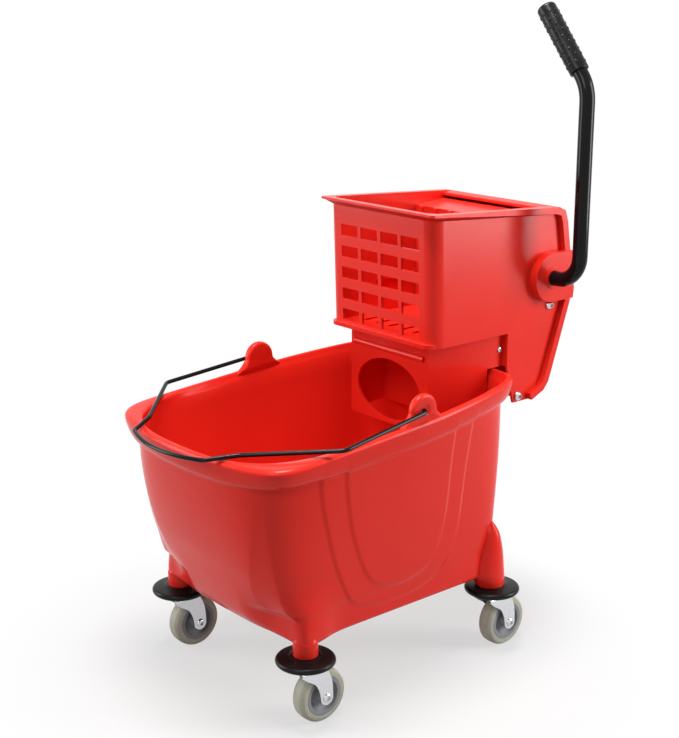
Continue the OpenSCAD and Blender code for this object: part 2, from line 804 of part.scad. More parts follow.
// Walls beside the saddle, set in from the side panels, and the steps out to the panels
module skirt_side() {
    start_y = skirt_rear_y - panel_t;
    low_z = saddle_z - side_drop;
    side_plate(skirt_half_w - panel_t, panel_t) polygon([
        [start_y, low_z], [side_rear_y, low_z], [side_rear_y, saddle_z], [hook_y + over, saddle_z],
        [hook_y + over, foot_z + over], [start_y, foot_z + over]
    ]);
    translate([skirt_half_w - panel_t, hook_y, saddle_z])
        cube([skirt_side_inset + panel_t - over, panel_t, foot_z + over - saddle_z]);
}

module drain_holes() {
    block_w = 2 * (panel_half_w - basket_corner_r - hole_margin);
    block_h = basket_h - flange_t - hole_rise - hole_band - lip_h;
    pitch_x = (block_w + hole_bar_w) / hole_columns;
    pitch_z = (block_h + hole_bar_h) / hole_rows;
    hole_w = pitch_x - hole_bar_w;
    hole_h = pitch_z - hole_bar_h;
    low_z = foot_z + flange_t + hole_rise;
    for (c = [0 : hole_columns - 1], r = [0 : hole_rows - 1])
        translate([c * pitch_x - block_w / 2, front_y - over, low_z + r * pitch_z])
            cube([hole_w, panel_t + 2 * over, hole_h]);
}

module hub_boss() {
    intersection() {
        side_plate(panel_half_w - over, boss_out + over) {
            translate([axle_y, axle_z]) circle(r = boss_r);
            translate([axle_y, axle_z - boss_r]) square([wringer_l, 2 * boss_r]);
        }
        across(wringer_w) polygon(side_profile);
    }
}

module guide_rib() {
    translate([inner_half_w - guide_t, press_y - travel, guide_z])
        cube([guide_t + over, travel + press_gap - tube_d, guide_h]);
}

module saddle() {
    half = skirt_half_w - over;
    translate([-half, skirt_rear_y - panel_t, saddle_z])
        cube([2 * half, hook_y - skirt_rear_y + panel_t, saddle_t]);
}

module wringer_housing() {
    color("#d8211c") difference() {
        union() {
            basket_walls();
            lips();
            foot_flange();
            basket_floor();
            skirt();
            saddle();
            both_sides() {
                hub_boss();
                guide_rib();
                skirt_side();
            }
        }
        drain_holes();
        cross_bar(bush_d + 2 * seat_gap, -wringer_w, wringer_w, axle_y, axle_z);
        cross_bar(bolt_d + 2 * seat_gap, -wringer_w, wringer_w, upper_bolt_y, upper_bolt_z);
        cross_bar(bolt_d + 2 * seat_gap, -wringer_w, wringer_w, lower_bolt_y, lower_bolt_z);
        cross_bar(screw_d + 2 * seat_gap, -wringer_w, wringer_w, screw_y, screw_z);
    }
}

// Rear cover: follows the panels' rear edge between them, with a rail turned forwards at the top
module rear_cover() {
    last = len(rear_edge) - 1;
    outer = inner_edge(0);
    inner = inner_edge(cover_t);
    half = inner_half_w - seat_gap;
    rail_z = outer[0][1] - rail_fall;
    color("#cf1f1a") across(half) polygon(concat(
        outer,
        [for (i = [last : -1 : 1]) inner[i]],
        [[rail_y, rail_z - rail_h], [rail_y, rail_z]]
    ));
}

module axle_bush(side) {
    color("#d8211c") mirror([side < 0 ? 1 : 0, 0, 0]) difference() {
        union() {
            cross_bar(bush_d, inner_half_w, boss_x, axle_y, axle_z);
            cross_bar(bush_flange_d, boss_x, boss_x + bush_flange_t, axle_y, axle_z);
        }
        cross_bar(tube_d + 2 * run_gap, 0, wringer_w, axle_y, axle_z);
    }
}

module tie_rod(y, z) {
    color("#d5d7da") {
        cross_bar(bolt_d, -panel_half_w, panel_half_w, y, z);
        both_sides() {
            cross_bar(bolt_head_d, panel_half_w, panel_half_w + bolt_head_t, y, z);
            cross_bar(bolt_head_d, inner_half_w - bolt_nut_t, inner_half_w, y, z);
        }
    }
}

module upper_tie_rod() {
    tie_rod(upper_bolt_y, upper_bolt_z);
}

module lower_tie_rod() {
    tie_rod(lower_bolt_y, lower_bolt_z);
}

module side_screw(side) {
    inside = skirt_half_w - panel_t;
    color("#d5d7da") mirror([side < 0 ? 1 : 0, 0, 0]) {
        cross_bar(screw_d, inside - screw_nut_t, skirt_half_w, screw_y, screw_z);
        cross_bar(screw_head_d, skirt_half_w, skirt_half_w + screw_head_t, screw_y, screw_z);
        cross_bar(screw_head_d, inside - screw_nut_t, inside, screw_y, screw_z);
    }
}

// Press plate with its slotted lugs
module lug() {
    low = slot_low_z - sleeve_d / 2 - slide_gap;
    high = slot_high_z + sleeve_d / 2 + slide_gap;
    difference() {
        translate([lug_x - lug_t / 2, press_back_y, low - lug_wall])
            cube([lug_t, slot_y + slot_w / 2 + lug_wall - press_back_y, press_top_z - low + lug_wall]);
        translate([lug_x - lug_t / 2 - over, slot_y - slot_w / 2, low])
            cube([lug_t + 2 * over, slot_w, high - low]);
    }
}

module press_ribs() {
    pitch = 2 * press_half_w / press_rib_n;
    for (k = [0 : press_rib_n - 1])
        translate([k * pitch + (pitch - press_rib_w) / 2 - press_half_w, press_y - press_rib_t, press_low_z])
            cube([press_rib_w, press_rib_t + over, press_top_z - press_low_z]);
}

module press_plate() {
    color("#cf1f1a") difference() {
        union() {
            translate([-press_half_w, press_y, press_low_z])
                cube([2 * press_half_w, press_t, press_top_z - press_low_z]);
            press_ribs();
            both_sides() lug();
            across(press_half_w) polygon([
                [press_y, press_top_z - guard_t], [press_y, press_top_z],
                [rail_y - slide_gap, press_top_z + guard_rise],
                [rail_y - slide_gap, press_top_z + guard_rise - guard_t],
                [press_back_y, press_top_z - guard_t]
            ]);
        }
        both_sides()
            translate([inner_half_w - guide_t - slide_gap, press_y - over, guide_z - slide_gap])
                cube([guide_t + 2 * slide_gap, press_t + 2 * over, guide_h + 2 * slide_gap]);
    }
}

// Handle
module tube_section() {
    difference() {
        circle(d = tube_d);
        circle(d = tube_d - 2 * tube_wall);
    }
}

module at_top_bend() {
    translate([upright_x - top_bend_r, axle_y, top_bend_z]) children();
}

module at_grip() {
    at_top_bend()
        translate([top_bend_r * cos(grip_lean), 0, top_bend_r * sin(grip_lean)])
            rotate([0, -grip_lean, 0]) children();
}

module handle_tube() {
    color("#17181a") {
        translate([tube_left_x, axle_y, axle_z])
            rotate([0, 90, 0]) linear_extrude(upright_x - hub_bend_r - tube_left_x) tube_section();
        translate([upright_x - hub_bend_r, axle_y, upright_z])
            rotate([90, 0, 0]) rotate([0, 0, -90])
                rotate_extrude(angle = 90) translate([hub_bend_r, 0]) tube_section();
        translate([upright_x, axle_y, upright_z]) linear_extrude(top_bend_z - upright_z) tube_section();
        at_top_bend()
            rotate([90, 0, 0]) rotate_extrude(angle = grip_lean) translate([top_bend_r, 0]) tube_section();
        at_grip() linear_extrude(grip_run - grip_cap_t) tube_section();
        // A plug inside the tube joins the grip's run to the bend
        at_grip() translate([0, 0, -over]) cylinder(h = 2 * over, d = tube_d - tube_wall);
    }
}

module hand_grip() {
    inner = tube_d / 2 + seat_gap;
    outer = grip_d / 2;
    color("#1d1d1e") at_grip() rotate_extrude() polygon(concat(
        [[inner, grip_run - grip_l], [outer, grip_run - grip_l]],
        [for (a = [0 : edge_step : 90])
            [outer - grip_end_r + grip_end_r * cos(a), grip_run - grip_end_r + grip_end_r * sin(a)]],
        [[0, grip_run], [0, grip_run - grip_cap_t], [inner, grip_run - grip_cap_t]]
    ));
}

module axle_end_cap() {
    color("#1d1d1e") difference() {
        cross_bar(cap_d, tube_left_x - tube_wall, tube_left_x + cap_t, axle_y, axle_z);
        cross_bar(tube_d + 2 * seat_gap, tube_left_x, tube_left_x + cap_t + over, axle_y, axle_z);
    }
}

// Cranks, fixed on the axle inside the housing
module crank_outline() {
    lean = [crank_r * sin(crank_lean), crank_r * cos(crank_lean)];
    half = [cos(crank_lean), -sin(crank_lean)];
    translate([axle_y, axle_z]) {
        circle(d = crank_hub_d);
        translate(lean) circle(r = crank_tip_r);
        polygon([
            half * crank_hub_d / 2, lean + half * crank_tip_r,
            lean - half * crank_tip_r, -half * crank_hub_d / 2
        ]);
    }
}

module crank_arm(side) {
    color("#5d6064") mirror([side < 0 ? 1 : 0, 0, 0]) {
        difference() {
            side_plate(crank_x, crank_t) crank_outline();
            cross_bar(tube_d + 2 * seat_gap, 0, wringer_w, axle_y, axle_z);
        }
        cross_bar(pin_d, crank_x + crank_t, sleeve_x + sleeve_w, sleeve_y, sleeve_z);
    }
}

module pin_sleeve(side) {
    color("#e4e2da") mirror([side < 0 ? 1 : 0, 0, 0]) difference() {
        cross_bar(sleeve_d, sleeve_x, sleeve_x + sleeve_w, sleeve_y, sleeve_z);
        cross_bar(pin_d + 2 * pin_gap, 0, wringer_w, sleeve_y, sleeve_z);
    }
}

bucket();
bail();
caster_stem(0);  // caster_stem_fl
caster_stem(1);  // caster_stem_fr
caster_stem(2);  // caster_stem_rl
caster_stem(3);  // caster_stem_rr
bumper(0);  // bumper_fl
bumper(1);  // bumper_fr
bumper(2);  // bumper_rl
bumper(3);  // bumper_rr
caster_fork(0);  // caster_fork_fl
caster_fork(1);  // caster_fork_fr
caster_fork(2);  // caster_fork_rl
caster_fork(3);  // caster_fork_rr
wheel_axle(0);  // wheel_axle_fl
wheel_axle(1);  // wheel_axle_fr
wheel_axle(2);  // wheel_axle_rl
wheel_axle(3);  // wheel_axle_rr
wheel_hub(0);  // wheel_hub_fl
wheel_hub(1);  // wheel_hub_fr
wheel_hub(2);  // wheel_hub_rl
wheel_hub(3);  // wheel_hub_rr
tyre(0);  // tyre_fl
tyre(1);  // tyre_fr
tyre(2);  // tyre_rl
tyre(3);  // tyre_rr
wringer_housing();
rear_cover();
axle_bush(-1);  // axle_bush_left
axle_bush(1);  // axle_bush_right
upper_tie_rod();
lower_tie_rod();
side_screw(-1);  // side_screw_left
side_screw(1);  // side_screw_right
press_plate();
handle_tube();
hand_grip();
axle_end_cap();
crank_arm(-1);  // crank_arm_left
crank_arm(1);  // crank_arm_right
pin_sleeve(-1);  // pin_sleeve_left
pin_sleeve(1);  // pin_sleeve_right
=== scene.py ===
"""Looks for the wheeled mop bucket with its side-press wringer.

Lengths are in millimetres until a mesh is made.
"""
import math

import bmesh
import bpy
import numpy as np
from mathutils import Matrix, Vector


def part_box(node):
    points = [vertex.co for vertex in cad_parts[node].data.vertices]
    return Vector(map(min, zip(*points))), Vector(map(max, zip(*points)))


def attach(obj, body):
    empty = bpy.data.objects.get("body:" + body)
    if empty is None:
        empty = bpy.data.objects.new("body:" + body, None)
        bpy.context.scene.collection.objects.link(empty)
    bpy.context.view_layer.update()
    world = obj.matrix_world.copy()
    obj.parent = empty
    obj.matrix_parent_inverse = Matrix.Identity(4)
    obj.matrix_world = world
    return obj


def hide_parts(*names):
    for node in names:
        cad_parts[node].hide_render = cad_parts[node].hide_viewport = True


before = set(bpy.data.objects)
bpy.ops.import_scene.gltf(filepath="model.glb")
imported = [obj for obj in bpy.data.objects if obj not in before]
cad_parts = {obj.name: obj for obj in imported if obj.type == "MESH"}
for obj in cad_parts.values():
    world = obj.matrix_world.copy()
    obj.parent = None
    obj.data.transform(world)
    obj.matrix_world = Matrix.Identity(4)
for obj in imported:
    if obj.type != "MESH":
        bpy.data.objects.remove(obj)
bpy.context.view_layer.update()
scene = bpy.context.scene
MM = 0.001


# Camera, lights and floor, in metres and degrees

CAMERA_AZIMUTH, CAMERA_ELEVATION = 49.79, 15.58
CAMERA_PLACE = (1.45406, -1.19343, 0.95812)
CAMERA_LENS, CAMERA_SENSOR = 68.32, 36
WORLD_LIGHT = 0.08
FLOOR_REACH = 9
# The floor's tone for rays that gather light, and for those that show it
FLOOR_TONES = (0.36, 0.52)
# The painted shadow pool under the object, a greyer disc of floor in which the lamps' real shadows also show:
# where its fade starts and ends, and the share of plain white there
PAINTED_POOL_EDGES = (0.30, 0.52)
PAINTED_POOL_WHITES = (0.6, 1.0)
# Name, place, aim, size and power of each lamp
LAMPS = (
    ("key_left", (-1.65, -1.6, 1.0), (0, 0, 0.45), (1.0, 1.7), 33),
    ("top", (0.1, -0.2, 2.5), (0, 0.0, 0.3), (0.9, 0.9), 79),
    ("right_rear", (1.5, 1.5, 0.95), (0, 0.15, 0.45), (0.8, 1.5), 42),
    ("front_fill", (0.9, -2.0, 1.9), (0, 0, 0.4), (1.0, 1.0), 18),
)


def make_camera():
    az, el = math.radians(CAMERA_AZIMUTH), math.radians(CAMERA_ELEVATION)
    back = Vector((math.sin(az) * math.cos(el), -math.cos(az) * math.cos(el), math.sin(el)))
    right = Vector((math.cos(az), math.sin(az), 0))
    up = back.cross(right)
    cam = bpy.data.cameras.new("camera")
    cam.lens = CAMERA_LENS
    cam.sensor_width = CAMERA_SENSOR
    cam.clip_end = 50
    ob = bpy.data.objects.new("camera", cam)
    rot = Matrix((right, up, back)).transposed().to_4x4()
    ob.matrix_world = Matrix.Translation(CAMERA_PLACE) @ rot
    scene.collection.objects.link(ob)
    scene.camera = ob


def area_light(name, place, target, size, power):
    light = bpy.data.lights.new(name, "AREA")
    light.shape = "RECTANGLE"
    light.size, light.size_y = size
    light.energy = power
    ob = bpy.data.objects.new(name, light)
    ob.location = place
    ob.rotation_euler = (Vector(target) - Vector(place)).to_track_quat("-Z", "Y").to_euler()
    scene.collection.objects.link(ob)


def math_node(nt, operation, a, b):
    n = nt.nodes.new("ShaderNodeMath")
    n.operation = operation
    nt.links.new(a, n.inputs[0])
    nt.links.new(b, n.inputs[1])
    return n.outputs[0]


def map_range(nt, value, to, start=(0, 1), kind="LINEAR"):
    n = nt.nodes.new("ShaderNodeMapRange")
    n.interpolation_type = kind
    n.inputs["From Min"].default_value, n.inputs["From Max"].default_value = start
    n.inputs["To Min"].default_value, n.inputs["To Max"].default_value = to
    nt.links.new(value, n.inputs["Value"])
    return n.outputs[0]


def plain_sight(nt):
    """One for rays that show a surface as it is seen, nought for those that gather light."""
    path = nt.nodes.new("ShaderNodeLightPath")
    value = path.outputs["Is Camera Ray"]
    for ray in ("Is Glossy Ray", "Is Transmission Ray"):
        value = math_node(nt, "MAXIMUM", value, path.outputs[ray])
    return value


def make_world():
    scene.view_settings.view_transform = "Standard"
    world = bpy.data.worlds.new("studio")
    scene.world = world
    world.use_nodes = True
    nt = world.node_tree
    bg = nt.nodes["Background"]
    bg.inputs["Color"].default_value = (1, 1, 1, 1)
    nt.links.new(map_range(nt, plain_sight(nt), (WORLD_LIGHT, 1.0)), bg.inputs["Strength"])


def make_floor():
    r = FLOOR_REACH
    me = bpy.data.meshes.new("floor")
    me.from_pydata([(-r, -r, 0), (r, -r, 0), (r, r, 0), (-r, r, 0)], [], [(0, 1, 2, 3)])
    floor = bpy.data.objects.new("floor", me)
    scene.collection.objects.link(floor)
    mat = bpy.data.materials.new("studio_floor")
    mat.use_nodes = True
    nt = mat.node_tree
    nt.nodes.clear()
    out = nt.nodes.new("ShaderNodeOutputMaterial")
    diffuse = nt.nodes.new("ShaderNodeBsdfDiffuse")
    nt.links.new(map_range(nt, plain_sight(nt), FLOOR_TONES), diffuse.inputs["Color"])
    glow = nt.nodes.new("ShaderNodeEmission")
    mix = nt.nodes.new("ShaderNodeMixShader")
    place = nt.nodes.new("ShaderNodeNewGeometry")
    far = nt.nodes.new("ShaderNodeVectorMath")
    far.operation = "LENGTH"
    nt.links.new(place.outputs["Position"], far.inputs[0])
    # Painted shadow: near the origin the floor shows less plain white, so it is greyer there whether or not a
    # shadow falls on it.
    fade = map_range(nt, far.outputs["Value"], PAINTED_POOL_WHITES, PAINTED_POOL_EDGES, "SMOOTHSTEP")
    nt.links.new(math_node(nt, "MULTIPLY", plain_sight(nt), fade), mix.inputs[0])
    nt.links.new(diffuse.outputs[0], mix.inputs[1])
    nt.links.new(glow.outputs[0], mix.inputs[2])
    nt.links.new(mix.outputs[0], out.inputs[0])
    me.materials.append(mat)


# Materials

# The part of a noise's range that most of its values lie in, and of a cell pattern's
NOISE_SPAN, CELL_SPAN = (0.3, 0.7), (0.1, 0.9)


class Nodes:
    """A short way to write a material's nodes."""

    def __init__(self, name):
        self.mat = bpy.data.materials.new(name)
        self.mat.use_nodes = True
        self.nt = self.mat.node_tree
        self.bsdf = self.nt.nodes["Principled BSDF"]
        self.coord = self.nt.nodes.new("ShaderNodeTexCoord").outputs["Object"]

    def noise(self, scale, detail, rough):
        n = self.nt.nodes.new("ShaderNodeTexNoise")
        n.inputs["Scale"].default_value = scale
        n.inputs["Detail"].default_value = detail
        n.inputs["Roughness"].default_value = rough
        self.nt.links.new(self.coord, n.inputs["Vector"])
        return n.outputs["Fac"]

    def cells(self, scale):
        n = self.nt.nodes.new("ShaderNodeTexVoronoi")
        n.inputs["Scale"].default_value = scale
        self.nt.links.new(self.coord, n.inputs["Vector"])
        return n.outputs["Color"]

    def tint(self, value, colour, low, high, start=NOISE_SPAN):
        """The base colour, from low to high times the given one."""
        n = self.nt.nodes.new("ShaderNodeValToRGB")
        for e, place, share in zip(n.color_ramp.elements, start, (low, high)):
            e.position = place
            e.color = (*np.minimum(np.array(colour) * share, 1), 1)
        self.nt.links.new(value, n.inputs["Fac"])
        self.link(n.outputs["Color"], "Base Color")

    def gloss(self, value, low, high, start=NOISE_SPAN):
        self.link(map_range(self.nt, value, (low, high), start), "Roughness")

    def bump(self, height, strength, distance):
        n = self.nt.nodes.new("ShaderNodeBump")
        n.inputs["Strength"].default_value = strength
        n.inputs["Distance"].default_value = distance
        self.nt.links.new(height, n.inputs["Height"])
        self.nt.links.new(n.outputs["Normal"], self.bsdf.inputs["Normal"])

    def link(self, value, socket):
        self.nt.links.new(value, self.bsdf.inputs[socket])

    def put(self, **values):
        for k, v in values.items():
            self.bsdf.inputs[k.replace("_", " ")].default_value = v


def moulded(name, colour, rough, tone=0.03):
    m = Nodes(name)
    m.tint(m.noise(9.0, 4.0, 0.6), colour, 1 - tone, 1 + tone)
    m.gloss(m.noise(38.0, 5.0, 0.65), rough - 0.04, rough + 0.05)
    m.bump(m.noise(240.0, 2.0, 0.5), 0.004, 0.0006)
    m.put(IOR=1.5, Specular_IOR_Level=0.15)
    return m.mat


def painted(name, colour, rough):
    m = Nodes(name)
    m.tint(m.noise(26.0, 4.0, 0.6), colour, 0.8, 1.3)
    m.gloss(m.noise(70.0, 4.0, 0.6), rough - 0.05, rough + 0.07)
    m.bump(m.noise(300.0, 2.0, 0.5), 0.005, 0.0005)
    m.put(IOR=1.5, Specular_IOR_Level=0.14)
    return m.mat


def rubber(name, colour, rough, shine=0.25):
    m = Nodes(name)
    m.tint(m.noise(30.0, 5.0, 0.65), colour, 0.85, 1.15)
    m.gloss(m.noise(120.0, 4.0, 0.6), rough - 0.06, rough + 0.08)
    m.bump(m.noise(1100.0, 3.0, 0.6), 0.06, 0.0005)
    m.put(IOR=1.45, Specular_IOR_Level=shine)
    return m.mat


def metal(name, colour, rough, spangle=None):
    """Bare metal; with a spangle, the scale of its zinc crystals."""
    m = Nodes(name)
    if spangle:
        value = m.cells(spangle)
        m.tint(value, colour, 0.97, 1.03, CELL_SPAN)
        m.gloss(value, rough - 0.02, rough + 0.03, CELL_SPAN)
    else:
        value = m.noise(90.0, 4.0, 0.6)
        m.tint(value, colour, 0.95, 1.05)
        m.gloss(value, rough - 0.04, rough + 0.05)
    m.bump(m.noise(420.0, 3.0, 0.6), 0.03, 0.0004)
    m.put(Metallic=1.0)
    return m.mat


RED = (0.69, 0.021, 0.012)
MATS = {
    "bucket_red": moulded("bucket_red", RED, 0.22),
    "wringer_red": moulded("wringer_red", RED, 0.22),
    "bail_black": painted("bail_black", (0.003, 0.003, 0.003), 0.08),
    "tube_black": painted("tube_black", (0.004, 0.004, 0.004), 0.11),
    "grip_rubber": rubber("grip_rubber", (0.005, 0.005, 0.005), 0.27, 0.2),
    "bush_black": moulded("bush_black", (0.012, 0.012, 0.012), 0.45, 0.15),
    "bumper_black": moulded("bumper_black", (0.005, 0.005, 0.005), 0.3, 0.15),
    "fork_zinc": metal("fork_zinc", (0.66, 0.67, 0.69), 0.26, 260.0),
    "bolt_chrome": metal("bolt_chrome", (0.6, 0.61, 0.62), 0.16),
    "crank_steel": metal("crank_steel", (0.38, 0.39, 0.41), 0.42),
    "sleeve_nylon": moulded("sleeve_nylon", (0.74, 0.71, 0.62), 0.5),
    "hub_grey": moulded("hub_grey", (0.24, 0.245, 0.26), 0.45, 0.08),
    "tyre_grey": rubber("tyre_grey", (0.45, 0.44, 0.36), 0.6),
}


# Mesh tools

# Edges sharper than this stay creased, and those sharper than the second get a bevel, in degrees
SHARP_ANGLE, BEVEL_ANGLE = 38, 32
# Faces of a CAD mesh that meet at less than this count as one flat face, in degrees
FLAT_ANGLE = 0.6
# A rounded bar's ends: rings, where the first one lies, and how far they bulge as a share of the radius
END_STEPS, END_START, END_BULGE = 3, 0.35, 0.35
# The two axes across each axis
ACROSS = ((1, 2), (2, 0), (0, 1))


def add_mesh(name, verts, faces, slot, body, node, sharp=SHARP_ANGLE):
    """A piece from points in millimetres, which rides on a body and stands for a CAD node."""
    me = bpy.data.meshes.new(name)
    me.from_pydata((np.asarray(verts, float) * MM).tolist(), [], [tuple(int(i) for i in f) for f in faces])
    bm = bmesh.new()
    bm.from_mesh(me)
    bmesh.ops.remove_doubles(bm, verts=bm.verts, dist=1e-7)
    bmesh.ops.recalc_face_normals(bm, faces=bm.faces)
    bm.to_mesh(me)
    bm.free()
    add_object(name, me, slot, body, node, sharp)


def add_object(name, me, slot, body, node, sharp=SHARP_ANGLE):
    me.materials.clear()
    me.materials.append(MATS[slot])
    me.polygons.foreach_set("use_smooth", [True] * len(me.polygons))
    me.polygons.foreach_set("material_index", [0] * len(me.polygons))
    me.set_sharp_from_angle(angle=math.radians(sharp))
    ob = bpy.data.objects.new(name, me)
    scene.collection.objects.link(ob)
    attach(ob, body)
    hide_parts(node)
    return ob


def loft(rings, closed=False):
    """Quads over a stack of rings of equal length, with a face on each end unless the stack is closed."""
    n = len(rings[0])
    verts = np.concatenate(rings)
    faces = []
    steps = len(rings) if closed else len(rings) - 1
    i = np.arange(n)
    j = (i + 1) % n
    for k in range(steps):
        a, b = k * n, ((k + 1) % len(rings)) * n
        faces += np.stack([a + i, a + j, b + j, b + i], 1).tolist()
    if not closed:
        faces.append(list(range(n))[::-1])
        faces.append([(len(rings) - 1) * n + k for k in range(n)])
    return verts, faces


def join(parts):
    verts, faces, start = [], [], 0
    for v, f in parts:
        verts.append(np.asarray(v, float))
        faces += [[start + i for i in q] for q in f]
        start += len(v)
    return np.concatenate(verts), faces


def lathe(profile, n, centre, axis):
    """Turns (radius, along) points about an axis through centre; axis is 0, 1 or 2."""
    ang = np.linspace(0, 2 * math.pi, n, endpoint=False)
    u, v = ACROSS[axis]
    rings = []
    for r, s in profile:
        ring = np.zeros((n, 3))
        ring[:, u] = centre[u] + r * np.cos(ang)
        ring[:, v] = centre[v] + r * np.sin(ang)
        ring[:, axis] = centre[axis] + s
        rings.append(ring)
    return rings


def sweep(path, radius, n):
    """A round bar along a path, with rounded ends."""
    path = np.asarray(path, float)
    tangent = np.gradient(path, axis=0)
    tangent /= np.linalg.norm(tangent, axis=1)[:, None]
    side = np.cross(tangent[0], [0, 0, 1])
    if np.linalg.norm(side) < 0.1:
        side = np.cross(tangent[0], [0, 1, 0])
    side /= np.linalg.norm(side)
    ang = np.linspace(0, 2 * math.pi, n, endpoint=False)
    rings = []
    for p, t in zip(path, tangent):
        side = side - t * side.dot(t)
        side /= np.linalg.norm(side)
        rings.append((p, t, side.copy(), np.cross(t, side)))
    turns = [math.pi / 2 * (k + END_START) / END_STEPS for k in range(END_STEPS)]
    ends = [(radius * math.sin(w), radius * END_BULGE * math.cos(w)) for w in turns]

    def ring(item, r, shift):
        p, t, a, b = item
        return p + t * shift + r * (np.cos(ang)[:, None] * a + np.sin(ang)[:, None] * b)

    out = [ring(rings[0], r, -bulge) for r, bulge in ends]
    out += [ring(item, radius, 0) for item in rings]
    out += [ring(rings[-1], r, bulge) for r, bulge in reversed(ends)]
    return loft(out)


def rounded_path(points, radii, step):
    """Straight runs joined by arcs of the given radii at the inner points."""
    pts = [np.asarray(p, float) for p in points]
    out = [pts[0]]
    for k in range(1, len(pts) - 1):
        a, b, c = pts[k - 1], pts[k], pts[k + 1]
        u, v = (a - b) / np.linalg.norm(a - b), (c - b) / np.linalg.norm(c - b)
        ang = math.acos(float(np.clip(u.dot(v), -1, 1)))
        r = radii[k - 1]
        reach = r / math.tan(ang / 2)
        start, end = b + u * reach, b + v * reach
        mid = b + (u + v) / np.linalg.norm(u + v) * (r / math.sin(ang / 2))
        turn = math.pi - ang
        steps = max(4, int(turn * r / step) + 3)
        n = np.cross(start - mid, end - mid)
        n /= np.linalg.norm(n)
        for q in np.linspace(0, 1, steps):
            rot = Matrix.Rotation(turn * q, 3, Vector(n))
            out.append(mid + np.array(rot @ Vector(start - mid)))
    out.append(pts[-1])
    return np.array(out)


def pchip(x, y, q):
    """Smooth curve through a table that doesn't overshoot."""
    x, y, q = np.asarray(x, float), np.asarray(y, float), np.asarray(q, float)
    h, d = np.diff(x), np.diff(y) / np.diff(x)
    m = np.zeros(len(x))
    for k in range(1, len(x) - 1):
        if d[k - 1] * d[k] > 0:
            w1, w2 = 2 * h[k] + h[k - 1], h[k] + 2 * h[k - 1]
            m[k] = (w1 + w2) / (w1 / d[k - 1] + w2 / d[k])
    m[0], m[-1] = d[0], d[-1]
    k = np.clip(np.searchsorted(x, q) - 1, 0, len(x) - 2)
    t = (q - x[k]) / h[k]
    return ((1 + 2 * t) * (1 - t) ** 2 * y[k] + t * (1 - t) ** 2 * h[k] * m[k]
            + t * t * (3 - 2 * t) * y[k + 1] + t * t * (t - 1) * h[k] * m[k + 1])


def from_cad(node, name, slot, body, width, segments, move=None):
    """A copy of a CAD node's mesh with rounded edges, which stands for the node."""
    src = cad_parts[node].data
    bm = bmesh.new()
    bm.from_mesh(src)
    bmesh.ops.remove_doubles(bm, verts=bm.verts, dist=2e-6)
    bmesh.ops.dissolve_limit(bm, angle_limit=math.radians(FLAT_ANGLE), verts=bm.verts, edges=bm.edges)
    if move:
        for v in bm.verts:
            v.co = Vector(move(np.array(v.co) / MM)) * MM
    me = bpy.data.meshes.new(name)
    bm.to_mesh(me)
    bm.free()
    ob = add_object(name, me, slot, body, node)
    bevel = ob.modifiers.new("edges", "BEVEL")
    bevel.width = width * MM
    bevel.segments = segments
    bevel.limit_method = "ANGLE"
    bevel.angle_limit = math.radians(BEVEL_ANGLE)
    flats = ob.modifiers.new("flats", "WEIGHTED_NORMAL")
    flats.weight = 100
    flats.keep_sharp = True


def lathe_mesh(profile, n, centre, axis, closed=False):
    return loft(lathe(profile, n, centre, axis), closed=closed)


def arc(cx, cy, r, a0, a1, n):
    turns = np.radians(np.linspace(a0, a1, n))
    return [(cx + r * math.cos(a), cy + r * math.sin(a)) for a in turns]


def mirrored(mesh):
    v, f = mesh
    v = np.array(v, float)
    v[:, 0] *= -1
    return v, [list(q)[::-1] for q in f]


def both(mesh):
    return join([mesh, mirrored(mesh)])


# Bucket

RING_N = 600
RIM_HALF_W, RIM_HALF_L = 187.5, 247.5
RIM_FRONT_Z, RIM_RISE = 375, 38
RIM_BAND = 30
# Roundness of the rim's top edge
RIM_ROUND = 6.2
# How much the rear half of the rim draws in
REAR_TAPER = 0.18
# How square the rim's corners are, and how much its front bows
RIM_SQUARE, RIM_BOW = 12, 0.135
BASE_Z = 117
# The base's half width, front and rear, and how far each flares up to the band
BASE = (150, 165, 208)
FLARE = (27.5, 72.5, 29.5)
# How square the wall's corners are at the base, front and rear, and how much less at the band
FRONT_SQUARE, REAR_SQUARE = (9, 3.8), (17, 8)
# How much the wall's front bows at the base, and how much more at the band
FRONT_BOW = (0.03, 0.055)
WALL_T = 4
# Shares of the height at which the wall's rings lie, up the outside and down the inside
OUTER_SHARES, INNER_SHARES = np.linspace(0.02, 0.985, 82), np.linspace(0.985, 0.10, 26)
# Rings round the base's lower edge, as inset and Z
FOOT_ROWS = ((9, 117.0), (5, 117.2), (2.2, 118.2), (0.6, 120.0))
# The band flares out from the wall to the rim's edge: share of the way, and depth below the rim
BAND_ROWS = ((0.05, 32.4), (0.18, 31.5), (0.36, 30.2), (0.54, 28.2), (0.67, 25.4), (0.78, 21.6), (0.87, 17.2),
             (0.94, 13.0), (0.98, 9.8))
# The rim's inside: inset, depth, and how square the front and rear corners are; its front bows less
LIP_BOW = 0.085
LIP_ROWS = ((6.8, 0, 4.0, RIM_SQUARE), (7.8, 0.35, 4.0, RIM_SQUARE), (8.6, 1.1, 4.0, RIM_SQUARE),
            (9.1, 2.2, 4.0, RIM_SQUARE), (9.5, 4.2, 4.0, RIM_SQUARE), (11.6, 8.6, 4.6, 10.5),
            (13.3, 13.2, 5.1, 9.3))
# The hollow between the wall and the floor, as share and inset, and the floor's edge, as inset and Z
COVE_ROWS = ((0.075, 4.4), (0.055, 5.8), (0.04, 8.0))
FLOOR_ROWS = ((11.5, 123.4), (17, 122.3), (24, 122.0))
# Share of the height, then the share of the flare reached there at the side, front and rear
WALL_ROWS = np.array([
    (0.00, 0.00, 0.00, 0.00), (0.15, 0.10, 0.08, 0.10), (0.20, 0.18, 0.26, 0.16), (0.38, 0.38, 0.58, 0.36),
    (0.62, 0.64, 0.80, 0.64), (0.82, 0.84, 0.92, 0.84), (1.00, 1.00, 1.00, 1.00)])
